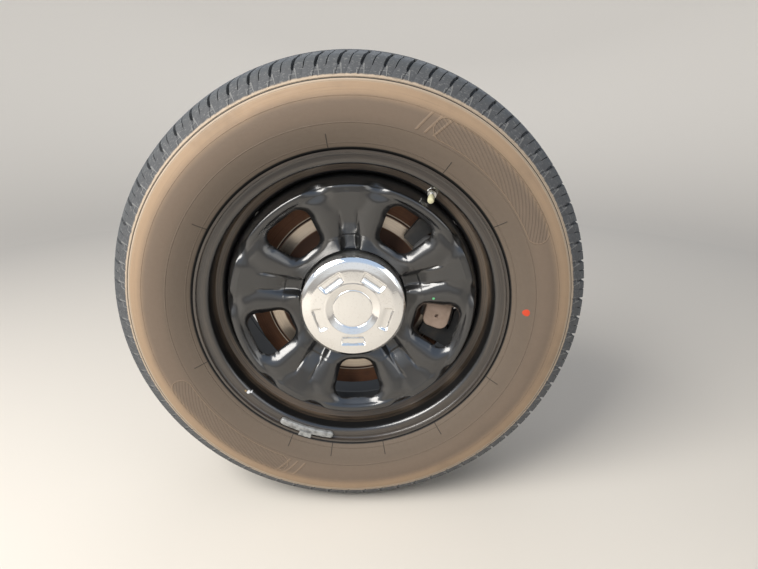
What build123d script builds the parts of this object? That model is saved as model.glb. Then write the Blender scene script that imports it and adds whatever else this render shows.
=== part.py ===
from build123d import *
import math
import os

# Wheel end of a large family car: tyre, pressed steel wheel, hub, vented brake and knuckle.
# Millimetres. X points forward, Z up and -Y out of the car, along the wheel's axle.
# Each piece is drawn about the wheel's centre, and placed from the lower arm's bore at the end.

# Running and seating clearances
SEAT_GAP = 0.3
PAD_GAP = 0.3
BOLT_GAP = 0.4
THREAD_GAP = 0.1
PRESS_GAP = 0.05
LIP_GAP = 3.6
LIP_INSET = 1.0
BRAKE_CLEAR = 7.3
BRIDGE_GAP = 5.0
FOOT_CLEAR = 6.0

# Rim, 18 x 8 inch, with a J flange
RIM_SEAT_R = 228.6
RIM_WIDTH = 203.2
RIM_WALL = 3.4
FLANGE_HEIGHT = 17.3
FLANGE_CURL_R = 9.9
FLANGE_REACH = 11.0
HEEL_R = 6.5
SEAT_WIDTH = 19.0
SEAT_DROP = 1.7
HUMP_HEIGHT = 1.3
HUMP_WIDTH = 9.0
WELL_DROP = 18.6
WELL_OUT_Y = -62.0
WELL_IN_Y = -20.0
WELL_RAMP = 5.5
BARREL_RAMP = 22.0
BARREL_DROP = 9.0
BARREL_BEND_R = 30.0
WELL_BEND_R = 8.0
HUMP_BEND_R = 5.0
RIM_EDGE_Y = RIM_WIDTH / 2 + FLANGE_REACH
FLANGE_R = RIM_SEAT_R + FLANGE_HEIGHT
WELL_R = RIM_SEAT_R - WELL_DROP

# Tyre, 255/60R18
TYRE_R = 381.5
TYRE_WIDTH = 257.2
CROWN_R = 410.0
CROWN_INSET = 38.6
CORNER_INSET = 29.6
CORNER_DROP = 14.5
SHOULDER_INSET = 23.6
SHOULDER_DROP = 21.5
STEP_INSET = 10.1
STEP_DROP = 39.5
BULGE_R = 303.0
HIGH_SIDE_INSET = 2.0
LOW_SIDE_INSET = 4.8
TREAD_WALL = 16.0
SIDE_WALL = 8.5
BEAD_WIDTH = 15.0
BEAD_TOE = 6.0
BEAD_CURL_ANGLES = (62.0, 30.0, 0.0)
LINER_LOW_INSET = 9.0
LINER_HIGH_INSET = 5.0
LINER_STEP = 4.0
LINER_CORNER = 8.0
LINER_SAG = 1.6
TYRE_HALF = TYRE_WIDTH / 2
CROWN_HALF = TYRE_HALF - CROWN_INSET
SHOULDER_Y = TYRE_HALF - SHOULDER_INSET
STEP_Y = TYRE_HALF - STEP_INSET
LIP_SEAT_R = FLANGE_R + LIP_GAP
GROOVE_Y = (-52.0, -17.5, 17.5, 52.0)
GROOVE_WIDTH = 8.5
GROOVE_DEPTH = 7.0

# Pressed wheel disc: depths are measured inward from the rim's outer edge
DISC_WALL = 5.0
WHEEL_OFFSET = 47.6
CROWN_DEPTH = 15.0
CROWN_SET_IN = 15.5
CROWN_WIDTH = 10.5
VALLEY_DEPTH = 46.0
VALLEY_R = 113.0
DISC_BENDS = (12.0, 8.0, 9.0, 20.0, 7.0)
PAD_R = 93.0
CENTRE_BORE_R = 35.3
SKIRT_LENGTH = 38.0
LIP_OUT_DEPTH = 16.0
LIP_IN_DEPTH = 38.0
LIP_WIDTH = 12.0
LIP_OVERLAP = 2.0
THUMB_OUT_DEPTH = 12.5
THUMB_IN_DEPTH = 30.0
THUMB_REACH = 2.0
THUMB_IN_R = 122.0
THUMB_OUT_HALF = 24.0
THUMB_IN_HALF = 15.0
THUMB_CORNER = 12.0
THUMB_OVERLAP = 6.0
WINDOW_COUNT = 5
WINDOW_ANGLE = 55.8
WINDOW_IN_R = 107.0
WINDOW_SET_IN = 8.0
WINDOW_IN_HALF = 26.0
WINDOW_OUT_HALF = 46.5
WINDOW_IN_CORNER = 20.0
WINDOW_OUT_CORNER = 17.0
CROWN_OUT_R = WELL_R - CROWN_SET_IN
CROWN_IN_R = CROWN_OUT_R - CROWN_WIDTH
THUMB_OUT_R = CROWN_IN_R + THUMB_REACH
WINDOW_OUT_R = CROWN_IN_R - WINDOW_SET_IN

# Wheel fastening: five M14 studs on a 114.3 circle
STUD_COUNT = 5
STUD_CIRCLE_R = 57.15
STUD_ANGLE = 90.0
STUD_R = 7.0
STUD_REACH = 36.0
STUD_HEAD_R = 10.0
STUD_HEAD = 4.0
NUT_FLATS = 21.0
NUT_LENGTH = 34.0
NUT_SEAT_R = 10.4
NUT_SEAT_SLOPE = 30.0
NUT_CONE = 4.0
NUT_COLLAR = 2.0
NUT_CORNER_R = 11.7
NUT_DOME = 4.0
STUD_TIP = 1.5

# Centre cap
CAP_WALL = 1.5
CAP_R = 82.3
CAP_RIM_DEPTH = 12.8
CAP_FACE_DEPTH = 4.0
CAP_DISC_DEPTH = 8.0
CAP_DISC_R = 31.0
CAP_RING_R = 42.0
CAP_SKIRT_R = 80.0
CAP_SHOULDER = 5.0
CAP_CENTRE_RISE = 1.5
CAP_BENDS = (3.0, 6.0, 3.0, 3.0)
POCKET_COUNT = 5
POCKET_IN_R = 52.0
POCKET_OUT_R = 68.0
POCKET_IN_HALF = 17.0
POCKET_OUT_HALF = 23.0
POCKET_CORNER = 4.0
POCKET_DEPTH = 4.5

# Valve and balance weight
VALVE_ANGLE = 55.0
VALVE_HOLE_R = 5.7
VALVE_STEM_R = 4.0
VALVE_GROMMET = 2.0
VALVE_NUT_FLATS = 14.0
VALVE_NUT_LENGTH = 7.0
VALVE_LENGTH = 24.0
VALVE_CAP_R = 4.8
VALVE_CAP_LENGTH = 14.0
VALVE_BODY = 12.0
VALVE_BODY_R = 7.5
VALVE_CAP_EASE = 1.5
VALVE_HOLE_REACH = 5.0
WEIGHT_ANGLE = 249.0
WEIGHT_SPAN = 21.0
WEIGHT_THICK = 7.5
CLIP_SPAN = 5.0
CLIP_WALL = 1.0
WEIGHT_LIFT = 1.5
WEIGHT_BEVEL = 2.5
CLIP_LAP = 3.0

# Brake disc, vented: its size follows from the room inside the wheel
ROTOR_FACE_Y = -32.0
ROTOR_THICK = 24.0
ROTOR_PLATE = 8.0
ROTOR_EASE = 1.0
BRIDGE_THICK = 14.0
SKIRT_R = WELL_R - RIM_WALL - SEAT_GAP
CALIPER_OUT_R = SKIRT_R - DISC_WALL - BRAKE_CLEAR
BRIDGE_IN_R = CALIPER_OUT_R - BRIDGE_THICK
ROTOR_R = BRIDGE_IN_R - BRIDGE_GAP
PAD_RIM_GAP = 4.0
PAD_HEIGHT = 51.0
PAD_OUT_R = ROTOR_R - PAD_RIM_GAP
PAD_IN_R = PAD_OUT_R - PAD_HEIGHT
HAT_TOP = 7.0
HAT_WALL = 7.5
HAT_GAP = 5.0
HAT_EASE = 3.0
ROTOR_MARGIN = 12.0
ROTOR_IN_R = PAD_IN_R - ROTOR_MARGIN
HAT_R = ROTOR_IN_R - HAT_GAP
VANE_COUNT = 36
VANE_WIDTH = 5.0
VANE_INSET = 2.0

# Hub and bearing
HUB_FLANGE_R = 70.0
HUB_FLANGE = 11.0
SPIGOT_R = 35.1
SPIGOT_REACH = 14.0
SPIGOT_BORE_R = 27.0
SPIGOT_DEPTH = 10.0
HUB_SHOULDER = 10.0
HUB_EASE = 1.5
SPLINE_R = 14.5
SPINDLE_R = 33.7
SPINDLE_END_Y = 36.0
BEARING_R = 43.0
BEARING_OUT_Y = -24.0
BEARING_CLEAR = 1.0
BEARING_IN_Y = 30.0
BEARING_FLANGE = 12.0
BEARING_LUG_R = 12.0
BEARING_BOLT_CIRCLE_R = 60.0
BEARING_BOLT_ANGLES = (45.0, 135.0, 225.0, 315.0)
BEARING_BOLT_R = 6.0
BEARING_COLLAR = 8.0
BEARING_ARM_HALF = 10.0
BOLT_HEAD = 8.0
BOLT_FLATS = 18.0
SPOT_FACE_R = 13.0

# Knuckle and its three arm bores
KNUCKLE_FACE_Y = 12.0
KNUCKLE_THICK = 28.0
KNUCKLE_WEB = 18.0
KNUCKLE_RING_R = 52.0
ARM_BORE_Y = 34.0
LOWER_ARM_DROP = 135.0
LOWER_HOUSING_R = 27.0
LOWER_WIDTH = 48.0
LOWER_BORE_R = 7.1
UPPER_ARM_RISE = 142.0
UPPER_ARM_SET_BACK = 12.0
TOE_LINK_SET_BACK = 128.0
TOE_LINK_DROP = 42.0
LINK_HOUSING_R = 22.0
LINK_WIDTH = 38.0
LINK_BORE_R = 6.1
ARM_BORES = {
    "lower_arm": dict(
        x=0.0,
        z=-LOWER_ARM_DROP,
        radius=LOWER_HOUSING_R,
        width=LOWER_WIDTH,
        bore=LOWER_BORE_R,
        along=(1, 0, 0),
    ),
    "upper_arm": dict(
        x=-UPPER_ARM_SET_BACK,
        z=UPPER_ARM_RISE,
        radius=LINK_HOUSING_R,
        width=LINK_WIDTH,
        bore=LINK_BORE_R,
        along=(1, 0, 0),
    ),
    "toe_link": dict(
        x=-TOE_LINK_SET_BACK,
        z=-TOE_LINK_DROP,
        radius=LINK_HOUSING_R,
        width=LINK_WIDTH,
        bore=LINK_BORE_R,
        along=(0, 0, 1),
    ),
}
ARM_MARGIN = 5.0
SLEEVE_CLEAR = 1.0
WEB_ROOT_R = 40.0
RIB_ROOT_R = 12.0
RIB_TIP_R = 8.0
KNUCKLE_EASE = 1.5
LUG_R = 14.0
LUG_SET_BACK = 7.0
BUSH_WALL = 4.0
SLEEVE_WALL = 4.0
SLEEVE_OVERHANG = 3.0

# Caliper, its bracket and pads, centred on one angle forward of the axle
CALIPER_ANGLE = 9.5
BRACKET_POST_ANGLE = 36.0
POST_HALF = 5.0
POST_CORNER = 3.0
POST_INSET = 2.0
PAD_HALF = 26.0
PAD_CORNER = 5.0
PAD_SLOT = 3.0
PAD_LINING = 9.0
PAD_PLATE = 5.5
PAD_PLATE_LAP = 2.0
PAD_PLATE_HALF = 26.8
PAD_EAR_RISE = 18.0
PAD_EAR_DROP = 14.0
PAD_EAR_GAP = 0.7
PAD_EAR_HALF = BRACKET_POST_ANGLE - POST_HALF - PAD_EAR_GAP
FINGER_IN_R = PAD_IN_R + 3.0
FINGER_OUT_R = PAD_OUT_R - 4.0
FINGER_HALF = 31.5
FINGER_CORNER = 14.0
FINGER_THICK = 13.0
FINGER_EASE = 2.5
FINGER_SLOT_HALF = 6.5
FINGER_SLOT_TOP = 9.0
DIMPLE_R = 3.2
DIMPLE_DEPTH = 5.0
DIMPLE_ANGLE = 22.9
DIMPLE_RISE = 21.0
DIMPLE_CIRCLE_R = FINGER_IN_R + DIMPLE_RISE
BRIDGE_HALF = 16.0
BRIDGE_CORNER = 4.0
BRIDGE_BACK = 24.0
SHELF_HALF = 15.0
PISTON_R = 22.5
PISTON_SET_OUT = 0.5
PISTON_SHORT = 14.0
CYLINDER_WALL = 8.5
CYLINDER_LENGTH = 46.0
CYLINDER_END = 10.0
CYLINDER_EASE = 2.0
PISTON_CENTRE_R = (PAD_IN_R + PAD_OUT_R) / 2 + PISTON_SET_OUT
CYLINDER_R = PISTON_R + CYLINDER_WALL
PIN_RISE = 9.0
PIN_CIRCLE_R = PISTON_CENTRE_R + PIN_RISE
PIN_R = 5.0
PIN_HEAD = 6.0
PIN_HEAD_FLATS = 15.0
BOOT_R = 9.0
EAR_R = 12.0
EAR_ROOT_R = 18.0
EAR_THICK = 10.0
EAR_Y = 40.0
BRACKET_BEAM = 16.0
BRACKET_GAP = 2.0
BRACKET_BOLT_ANGLE = 30.0
BRACKET_BOLT_R = 6.0
FOOT_WALL = 8.5
BOSS_WALL = 3.0
LEG_RISE = 10.0
LEG_THICK = 4.0
WING_HALF = 9.0
WING_ANGLE = 28.0
BRACKET_FOOT_R = PIN_CIRCLE_R - BOOT_R - LUG_R - FOOT_CLEAR
PORT_OUT = 16.0
PORT_R = 5.0
PORT_DEPTH = 8.0

# Dust shield
SHIELD_WALL = 1.5
SHIELD_CLEAR = 8.0
SHIELD_IN_R = 73.0
SHIELD_FOOT = 6.0
SHIELD_OUT_R = ROTOR_R - 5.0
SHIELD_LIP = 3.5
SHIELD_OPENING_HALF = 46.0

# Planes that the pieces share
HUB_FACE_Y = -WHEEL_OFFSET
PAD_FACE_Y = HUB_FACE_Y - DISC_WALL
HUB_FLANGE_Y = HUB_FACE_Y + HAT_TOP
HUB_BACK_Y = HUB_FLANGE_Y + HUB_FLANGE
ROTOR_BACK_Y = ROTOR_FACE_Y + ROTOR_THICK
OUTER_PAD_Y = ROTOR_FACE_Y - PAD_GAP
INNER_PAD_Y = ROTOR_BACK_Y + PAD_GAP
PAD_STACK = PAD_LINING + PAD_PLATE
CALIPER_FACE_Y = OUTER_PAD_Y - PAD_STACK - FINGER_THICK
CALIPER_BACK_Y = INNER_PAD_Y + PAD_STACK
BRACKET_BACK_Y = KNUCKLE_FACE_Y + LUG_SET_BACK
BRACKET_FRONT_Y = CALIPER_BACK_Y + PAD_GAP

parts = {}


def at_depth(depth):
    """Axial place of a depth behind the rim's outer edge."""
    return depth - RIM_EDGE_Y


def outboard(y):
    """Drawing plane across the axle, seen from outside the car."""
    return Plane(origin=(0, y, 0), x_dir=(1, 0, 0), z_dir=(0, -1, 0))


def turn(shape, angle):
    """Turn a shape about the axle, counter-clockwise seen from outside."""
    return shape.rotate(Axis.Y, -angle)


def slab(sketch, low_y, high_y):
    """Solid of a flat sketch between two axial places."""
    return extrude(outboard(high_y) * sketch, amount=high_y - low_y)


def ring(inner_r, outer_r, low_y, high_y):
    """Plain ring round the axle."""
    face = Circle(outer_r)
    if inner_r > 0:
        face -= Circle(inner_r)
    return slab(face, low_y, high_y)


def rod(x, z, radius, low_y, high_y):
    """Round bar parallel to the axle."""
    return slab(Pos(x, z) * Circle(radius), low_y, high_y)


def polar(radius, angle):
    """Point of the outboard view at a radius and an angle."""
    return (radius * math.cos(math.radians(angle)), radius * math.sin(math.radians(angle)))


def sector(inner_r, outer_r, half_angle, corner=0.0):
    """Sketch of a ring's sector, centred on the X axis, with rounded corners."""
    start, end = -half_angle, half_angle
    edges = [
        RadiusArc(polar(outer_r, start), polar(outer_r, end), -outer_r),
        Line(polar(outer_r, end), polar(inner_r, end)),
        RadiusArc(polar(inner_r, end), polar(inner_r, start), inner_r),
        Line(polar(inner_r, start), polar(outer_r, start)),
    ]
    face = make_face(edges)
    if corner > 0:
        face = fillet(face.vertices(), corner)
    return face


def parallel(points, distance):
    """Corners of a path moved to its right by a distance."""
    normals = []
    for (x0, y0), (x1, y1) in zip(points, points[1:]):
        length = math.hypot(x1 - x0, y1 - y0)
        normals.append(((y1 - y0) / length, (x0 - x1) / length))
    moved = []
    for index, (x, y) in enumerate(points):
        before = normals[max(index - 1, 0)]
        after = normals[min(index, len(normals) - 1)]
        scale = distance / (1 + before[0] * after[0] + before[1] * after[1])
        moved.append((x + (before[0] + after[0]) * scale, y + (before[1] + after[1]) * scale))
    return moved


def parallel_radii(points, radii, distance):
    """Bend radii of a path after it is moved to its right by a distance."""
    moved = []
    for index, radius in enumerate(radii):
        (x0, y0), (x1, y1), (x2, y2) = points[index : index + 3]
        turns_left = (x1 - x0) * (y2 - y1) - (y1 - y0) * (x2 - x1) > 0
        moved.append(radius + distance if turns_left else radius - distance)
    return moved


def sheet(points, radii, wall):
    """Revolved sheet whose section follows a bent path, with its wall on the right."""
    back_points = parallel(points, wall)
    front = FilletPolyline(*points, radius=radii)
    back = FilletPolyline(*back_points, radius=parallel_radii(points, radii, wall))
    ends = [Line(points[0], back_points[0]), Line(points[-1], back_points[-1])]
    section = make_face([*front.edges(), *back.edges(), *ends])
    return revolve(section, Axis.Y)


def filled(points, radii, back_y):
    """Revolved solid between a bent path and a plane behind it."""
    first, last = points[0], points[-1]
    path = FilletPolyline(*points, radius=radii)
    corners = [last, (last[0], back_y), (first[0], back_y)]
    if first[1] != back_y:
        corners.append(first)
    close = Polyline(*corners)
    return revolve(make_face([*path.edges(), *close.edges()]), Axis.Y)


def pattern(shape, count, first_angle):
    """Copies of a shape spread evenly round the axle."""
    return [turn(shape, first_angle + index * 360.0 / count) for index in range(count)]


def trapezoid(inner_r, outer_r, inner_half, outer_half, inner_corner, outer_corner):
    """Sketch of a rounded trapezoid along the X axis, its narrow end towards the axle."""
    corners = [(inner_r, -inner_half), (outer_r, -outer_half), (outer_r, outer_half), (inner_r, inner_half)]
    face = make_face(Polyline(*corners, close=True))
    face = fillet(face.vertices().group_by(Axis.X)[0], inner_corner)
    return fillet(face.vertices().group_by(Axis.X)[-1], outer_corner)


def hexagon(flats):
    """Sketch of a hexagon by its width across flats."""
    return RegularPolygon(flats / 2, 6, major_radius=False)


def rim():
    """Rolled rim: two flanges, bead seats with humps, and a drop centre."""
    half = RIM_WIDTH / 2
    hump_y = half - SEAT_WIDTH
    seat_end_r = RIM_SEAT_R - SEAT_DROP
    well_side_y = WELL_OUT_Y - WELL_RAMP
    hump_r = seat_end_r + HUMP_HEIGHT
    barrel_r = RIM_SEAT_R - BARREL_DROP
    points = [
        (FLANGE_R, RIM_EDGE_Y),
        (FLANGE_R, half),
        (RIM_SEAT_R, half),
        (seat_end_r, hump_y),
        (hump_r, hump_y - HUMP_WIDTH / 2),
        (seat_end_r - 2 * HUMP_HEIGHT, hump_y - 3 * HUMP_WIDTH / 2),
        (barrel_r, WELL_IN_Y + BARREL_RAMP),
        (WELL_R, WELL_IN_Y),
        (WELL_R, WELL_OUT_Y),
        (seat_end_r - HUMP_HEIGHT, well_side_y),
        (hump_r, -hump_y + HUMP_WIDTH / 2),
        (seat_end_r, -hump_y),
        (RIM_SEAT_R, -half),
        (FLANGE_R, -half),
        (FLANGE_R, -RIM_EDGE_Y),
    ]
    radii = [FLANGE_CURL_R, HEEL_R, HUMP_BEND_R, HUMP_BEND_R, WELL_BEND_R, BARREL_BEND_R, WELL_BEND_R]
    radii += [WELL_BEND_R, HUMP_BEND_R, HUMP_BEND_R, HUMP_BEND_R, HEEL_R, FLANGE_CURL_R]
    return sheet(points, radii, RIM_WALL)


def valve_frame():
    """Plane on the sloped wall of the rim's well, facing out along the valve."""
    wall_y = WELL_OUT_Y - WELL_RAMP / 2
    top_r = RIM_SEAT_R - SEAT_DROP - HUMP_HEIGHT
    normal = (-WELL_RAMP, WELL_R - top_r, 0)
    plane = Plane(origin=((WELL_R + top_r) / 2, wall_y, 0), x_dir=(0, 0, 1), z_dir=normal)
    return plane.offset(RIM_WALL + SEAT_GAP)


def valve():
    """Clamp-in valve: its body inside the rim, the nut and stem outside, and its cap."""
    face = valve_frame()
    grommet = extrude(face * Circle(VALVE_HOLE_R), amount=VALVE_GROMMET)
    nut = extrude(face.offset(VALVE_GROMMET) * hexagon(VALVE_NUT_FLATS), amount=VALVE_NUT_LENGTH)
    stem = extrude(face * Circle(VALVE_STEM_R), amount=VALVE_LENGTH)
    through = RIM_WALL + 2 * SEAT_GAP
    neck = extrude(face.offset(-through) * Circle(VALVE_HOLE_R - SEAT_GAP), amount=through)
    collar = extrude(face.offset(-through) * Circle(VALVE_HOLE_R), amount=-VALVE_GROMMET)
    body = extrude(face.offset(-through - VALVE_GROMMET) * Circle(VALVE_BODY_R), amount=-VALVE_BODY)
    cap_plane = face.offset(VALVE_LENGTH - VALVE_CAP_LENGTH / 2)
    cap = extrude(cap_plane * Circle(VALVE_CAP_R), amount=VALVE_CAP_LENGTH)
    cap = fillet(cap.edges().sort_by(Axis.X)[0], VALVE_CAP_EASE)
    bore = extrude(cap_plane * Circle(VALVE_STEM_R + THREAD_GAP), amount=VALVE_CAP_LENGTH / 2 + THREAD_GAP)
    stem_node = turn(grommet + nut + stem + neck + collar + body, VALVE_ANGLE)
    return stem_node, turn(cap - bore, VALVE_ANGLE)


def balance_weight():
    """Clip-on weight bedded in the outer flange, with its spring clip over the edge."""
    wall_y = -(RIM_WIDTH / 2 + RIM_WALL) - SEAT_GAP
    low_r, high_r = RIM_SEAT_R + WEIGHT_LIFT, FLANGE_R - FLANGE_CURL_R
    front_y = wall_y - WEIGHT_THICK
    edge_y = -RIM_EDGE_Y - SEAT_GAP
    edge_r = FLANGE_R + SEAT_GAP
    corners = [(low_r, wall_y), (low_r, front_y + WEIGHT_BEVEL), (low_r + WEIGHT_BEVEL, front_y)]
    corners += [(high_r, front_y), (high_r, wall_y)]
    body = revolve(make_face(Polyline(*corners, close=True)), Axis.Y, revolution_arc=WEIGHT_SPAN)
    hook = [
        (high_r - CLIP_LAP, front_y),
        (high_r - CLIP_LAP, edge_y - CLIP_WALL),
        (edge_r + CLIP_WALL, edge_y - CLIP_WALL),
        (edge_r + CLIP_WALL, edge_y + CLIP_LAP),
        (edge_r, edge_y + CLIP_LAP),
        (edge_r, edge_y),
        (high_r - CLIP_WALL, edge_y),
        (high_r - CLIP_WALL, front_y),
    ]
    clip = revolve(make_face(Polyline(*hook, close=True)), Axis.Y, revolution_arc=CLIP_SPAN)
    body = turn(body, WEIGHT_ANGLE + WEIGHT_SPAN / 2)
    return body + turn(clip, WEIGHT_ANGLE + CLIP_SPAN / 2)


def tyre():
    """Hollow tyre whose beads sit on the rim, with four grooves round its tread."""
    half = RIM_WIDTH / 2
    curl_y, curl_r = half + FLANGE_CURL_R, FLANGE_R - FLANGE_CURL_R
    bead_y, bead_r = half - SEAT_GAP, RIM_SEAT_R + SEAT_GAP
    crown_centre_r = TYRE_R - CROWN_R
    crown_mid_r = crown_centre_r + math.sqrt(CROWN_R**2 - CROWN_HALF**2 / 4)
    crown_end_r = crown_centre_r + math.sqrt(CROWN_R**2 - CROWN_HALF**2)
    heel_r, heel_y = bead_r + HEEL_R, bead_y - HEEL_R
    heel_bow = HEEL_R * math.sqrt(0.5)
    toe_r, toe_y = bead_r + BEAD_TOE, bead_y - BEAD_WIDTH
    step_r = TYRE_R - STEP_DROP
    shoulder_r = TYRE_R - SHOULDER_DROP
    corner = (TYRE_R - CORNER_DROP, TYRE_HALF - CORNER_INSET)
    liner_r = TYRE_R - TREAD_WALL
    liner_end = (liner_r - LINER_CORNER, CROWN_HALF - LINER_STEP)
    low_r = (LIP_SEAT_R + BULGE_R) / 2
    high_r = (step_r + BULGE_R) / 2
    inner_y = TYRE_HALF - SIDE_WALL
    lip = (LIP_SEAT_R, RIM_EDGE_Y - LIP_INSET)
    curl = []
    for angle in BEAD_CURL_ANGLES:
        rad = math.radians(angle)
        reach = FLANGE_CURL_R + SEAT_GAP
        curl.append((curl_r + reach * math.sin(rad), curl_y - reach * math.cos(rad)))
    edges = [
        ThreePointArc((TYRE_R, 0), (crown_mid_r, CROWN_HALF / 2), (crown_end_r, CROWN_HALF)),
        ThreePointArc((crown_end_r, CROWN_HALF), corner, (shoulder_r, SHOULDER_Y)),
        Line((shoulder_r, SHOULDER_Y), (step_r, STEP_Y)),
        ThreePointArc((step_r, STEP_Y), (high_r, TYRE_HALF - HIGH_SIDE_INSET), (BULGE_R, TYRE_HALF)),
        ThreePointArc((BULGE_R, TYRE_HALF), (low_r, TYRE_HALF - LOW_SIDE_INSET), lip),
        Line(lip, curl[0]),
        ThreePointArc(*curl),
        Line(curl[-1], (heel_r, bead_y)),
        ThreePointArc((heel_r, bead_y), (heel_r - heel_bow, heel_y + heel_bow), (bead_r, heel_y)),
        Line((bead_r, heel_y), (bead_r, toe_y)),
        Line((bead_r, toe_y), (toe_r, toe_y)),
        ThreePointArc((toe_r, toe_y), (low_r - LINER_STEP, inner_y - LINER_LOW_INSET), (BULGE_R, inner_y)),
        ThreePointArc((BULGE_R, inner_y), (high_r + LINER_STEP, inner_y - LINER_HIGH_INSET), liner_end),
        ThreePointArc(liner_end, (liner_r - LINER_SAG, CROWN_HALF / 2), (liner_r, 0)),
        Line((liner_r, 0), (TYRE_R, 0)),
    ]
    half_section = make_face(edges)
    section = half_section + mirror(half_section, Plane.XZ)
    groove = Rectangle(2 * GROOVE_DEPTH, GROOVE_WIDTH, align=(Align.MIN, Align.CENTER))
    for groove_y in GROOVE_Y:
        section -= Pos(TYRE_R - GROOVE_DEPTH, groove_y) * groove
    return revolve(section, Axis.Y)


def window():
    """Outline of one window in the disc, on the X axis."""
    return trapezoid(
        WINDOW_IN_R, WINDOW_OUT_R, WINDOW_IN_HALF, WINDOW_OUT_HALF, WINDOW_IN_CORNER, WINDOW_OUT_CORNER
    )


def thumb(inset):
    """Outline of the raised rib on one spoke, drawn in by an inset."""
    return trapezoid(
        THUMB_IN_R + inset,
        THUMB_OUT_R - inset,
        THUMB_IN_HALF - inset,
        THUMB_OUT_HALF - inset,
        THUMB_CORNER - inset,
        THUMB_CORNER - inset,
    )


def disc_form(inset):
    """Filled form of the disc: its front at an inset of nothing, its back at the sheet's thickness."""
    hub_end_r = CENTRE_BORE_R - 2 * inset
    skirt_end_y = WELL_OUT_Y + SKIRT_LENGTH
    base = [
        (SKIRT_R, skirt_end_y),
        (SKIRT_R, WELL_OUT_Y),
        (CROWN_OUT_R, at_depth(CROWN_DEPTH)),
        (CROWN_IN_R, at_depth(CROWN_DEPTH)),
        (VALLEY_R, at_depth(VALLEY_DEPTH)),
        (PAD_R, PAD_FACE_Y),
        (CENTRE_BORE_R, PAD_FACE_Y),
    ]
    moved = parallel(base, inset)
    moved[-1] = (hub_end_r, moved[-1][1])
    back_y = skirt_end_y + 2 * inset
    moved[0] = (moved[0][0], skirt_end_y)
    form = filled(moved, parallel_radii(base, DISC_BENDS, inset), back_y)

    lip = [(CROWN_OUT_R, LIP_OUT_DEPTH), (WINDOW_IN_R - LIP_WIDTH - LIP_OVERLAP, LIP_IN_DEPTH)]
    raised = [(THUMB_OUT_R + THUMB_OVERLAP, THUMB_OUT_DEPTH), (THUMB_IN_R - LIP_OVERLAP, THUMB_IN_DEPTH)]
    lip_zone = offset(window(), LIP_WIDTH - inset)
    for rise, zone, step in ((lip, lip_zone, 0.0), (raised, thumb(inset), 180.0 / WINDOW_COUNT)):
        path = [(radius, at_depth(depth) + inset) for radius, depth in rise]
        corners = [*path, (path[1][0], PAD_FACE_Y), (path[0][0], PAD_FACE_Y)]
        band = revolve(make_face(Polyline(*corners, close=True)), Axis.Y)
        prism = slab(zone, at_depth(0), PAD_FACE_Y)
        for copy in pattern(prism & band, WINDOW_COUNT, WINDOW_ANGLE + step):
            form += copy
    return form


def wheel_disc():
    """Pressed disc: crown and skirt, five ribbed spokes, five lipped windows, nut seats."""
    disc = disc_form(0.0) - disc_form(DISC_WALL)
    cutter = slab(window(), at_depth(0), PAD_FACE_Y)
    back_r = NUT_SEAT_R - DISC_WALL * math.tan(math.radians(NUT_SEAT_SLOPE))
    seat_plane = Plane((STUD_CIRCLE_R, PAD_FACE_Y, 0), z_dir=(0, 1, 0))
    seat = Solid.make_cone(NUT_SEAT_R, back_r, DISC_WALL, seat_plane)
    for copy in pattern(cutter, WINDOW_COUNT, WINDOW_ANGLE):
        disc -= copy
    for copy in pattern(seat, STUD_COUNT, STUD_ANGLE):
        disc -= copy
    return disc


def cap_form(inset):
    """Filled form of the centre cap, drawn in by an inset."""
    face = [
        (CAP_SKIRT_R, PAD_FACE_Y - SEAT_GAP),
        (CAP_R, at_depth(CAP_RIM_DEPTH)),
        (CAP_R - CAP_SHOULDER, at_depth(CAP_RIM_DEPTH - CAP_SHOULDER)),
        (CAP_RING_R, at_depth(CAP_FACE_DEPTH)),
        (CAP_DISC_R, at_depth(CAP_DISC_DEPTH)),
        (0, at_depth(CAP_DISC_DEPTH - CAP_CENTRE_RISE)),
    ]
    moved = parallel(face, inset)
    moved[0] = (moved[0][0], face[0][1])
    moved[-1] = (0, moved[-1][1])
    form = filled(moved, parallel_radii(face, CAP_BENDS, inset), face[0][1] + 2 * inset)
    pocket = trapezoid(
        POCKET_IN_R - inset,
        POCKET_OUT_R + inset,
        POCKET_IN_HALF + inset,
        POCKET_OUT_HALF + inset,
        POCKET_CORNER + inset,
        POCKET_CORNER + inset,
    )
    floor_y = at_depth(CAP_FACE_DEPTH + POCKET_DEPTH) + inset
    for copy in pattern(slab(pocket, at_depth(0) - CAP_SHOULDER, floor_y), POCKET_COUNT, WINDOW_ANGLE):
        form -= copy
    return form


def lug_nut():
    """Closed wheel nut on the X axis, its cone in the disc's seat."""
    x = STUD_CIRCLE_R
    seat_plane = Plane((x, PAD_FACE_Y, 0), x_dir=(1, 0, 0), z_dir=(0, -1, 0))
    slope = math.tan(math.radians(NUT_SEAT_SLOPE))
    big_r = NUT_SEAT_R - SEAT_GAP
    cone = Solid.make_cone(big_r - NUT_CONE * slope, big_r, NUT_CONE, seat_plane.offset(-NUT_CONE))
    shank = extrude(seat_plane * hexagon(NUT_FLATS), amount=NUT_LENGTH)
    dome = extrude(seat_plane * Circle(NUT_CORNER_R), amount=NUT_LENGTH)
    dome = fillet(dome.edges().sort_by(Axis.Y)[0], NUT_DOME)
    collar = extrude(seat_plane * Circle(big_r), amount=NUT_COLLAR)
    bore = extrude(seat_plane.offset(-DISC_WALL) * Circle(STUD_R + THREAD_GAP), amount=STUD_REACH + STUD_TIP)
    return (shank & dome) + cone + collar - bore


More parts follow.
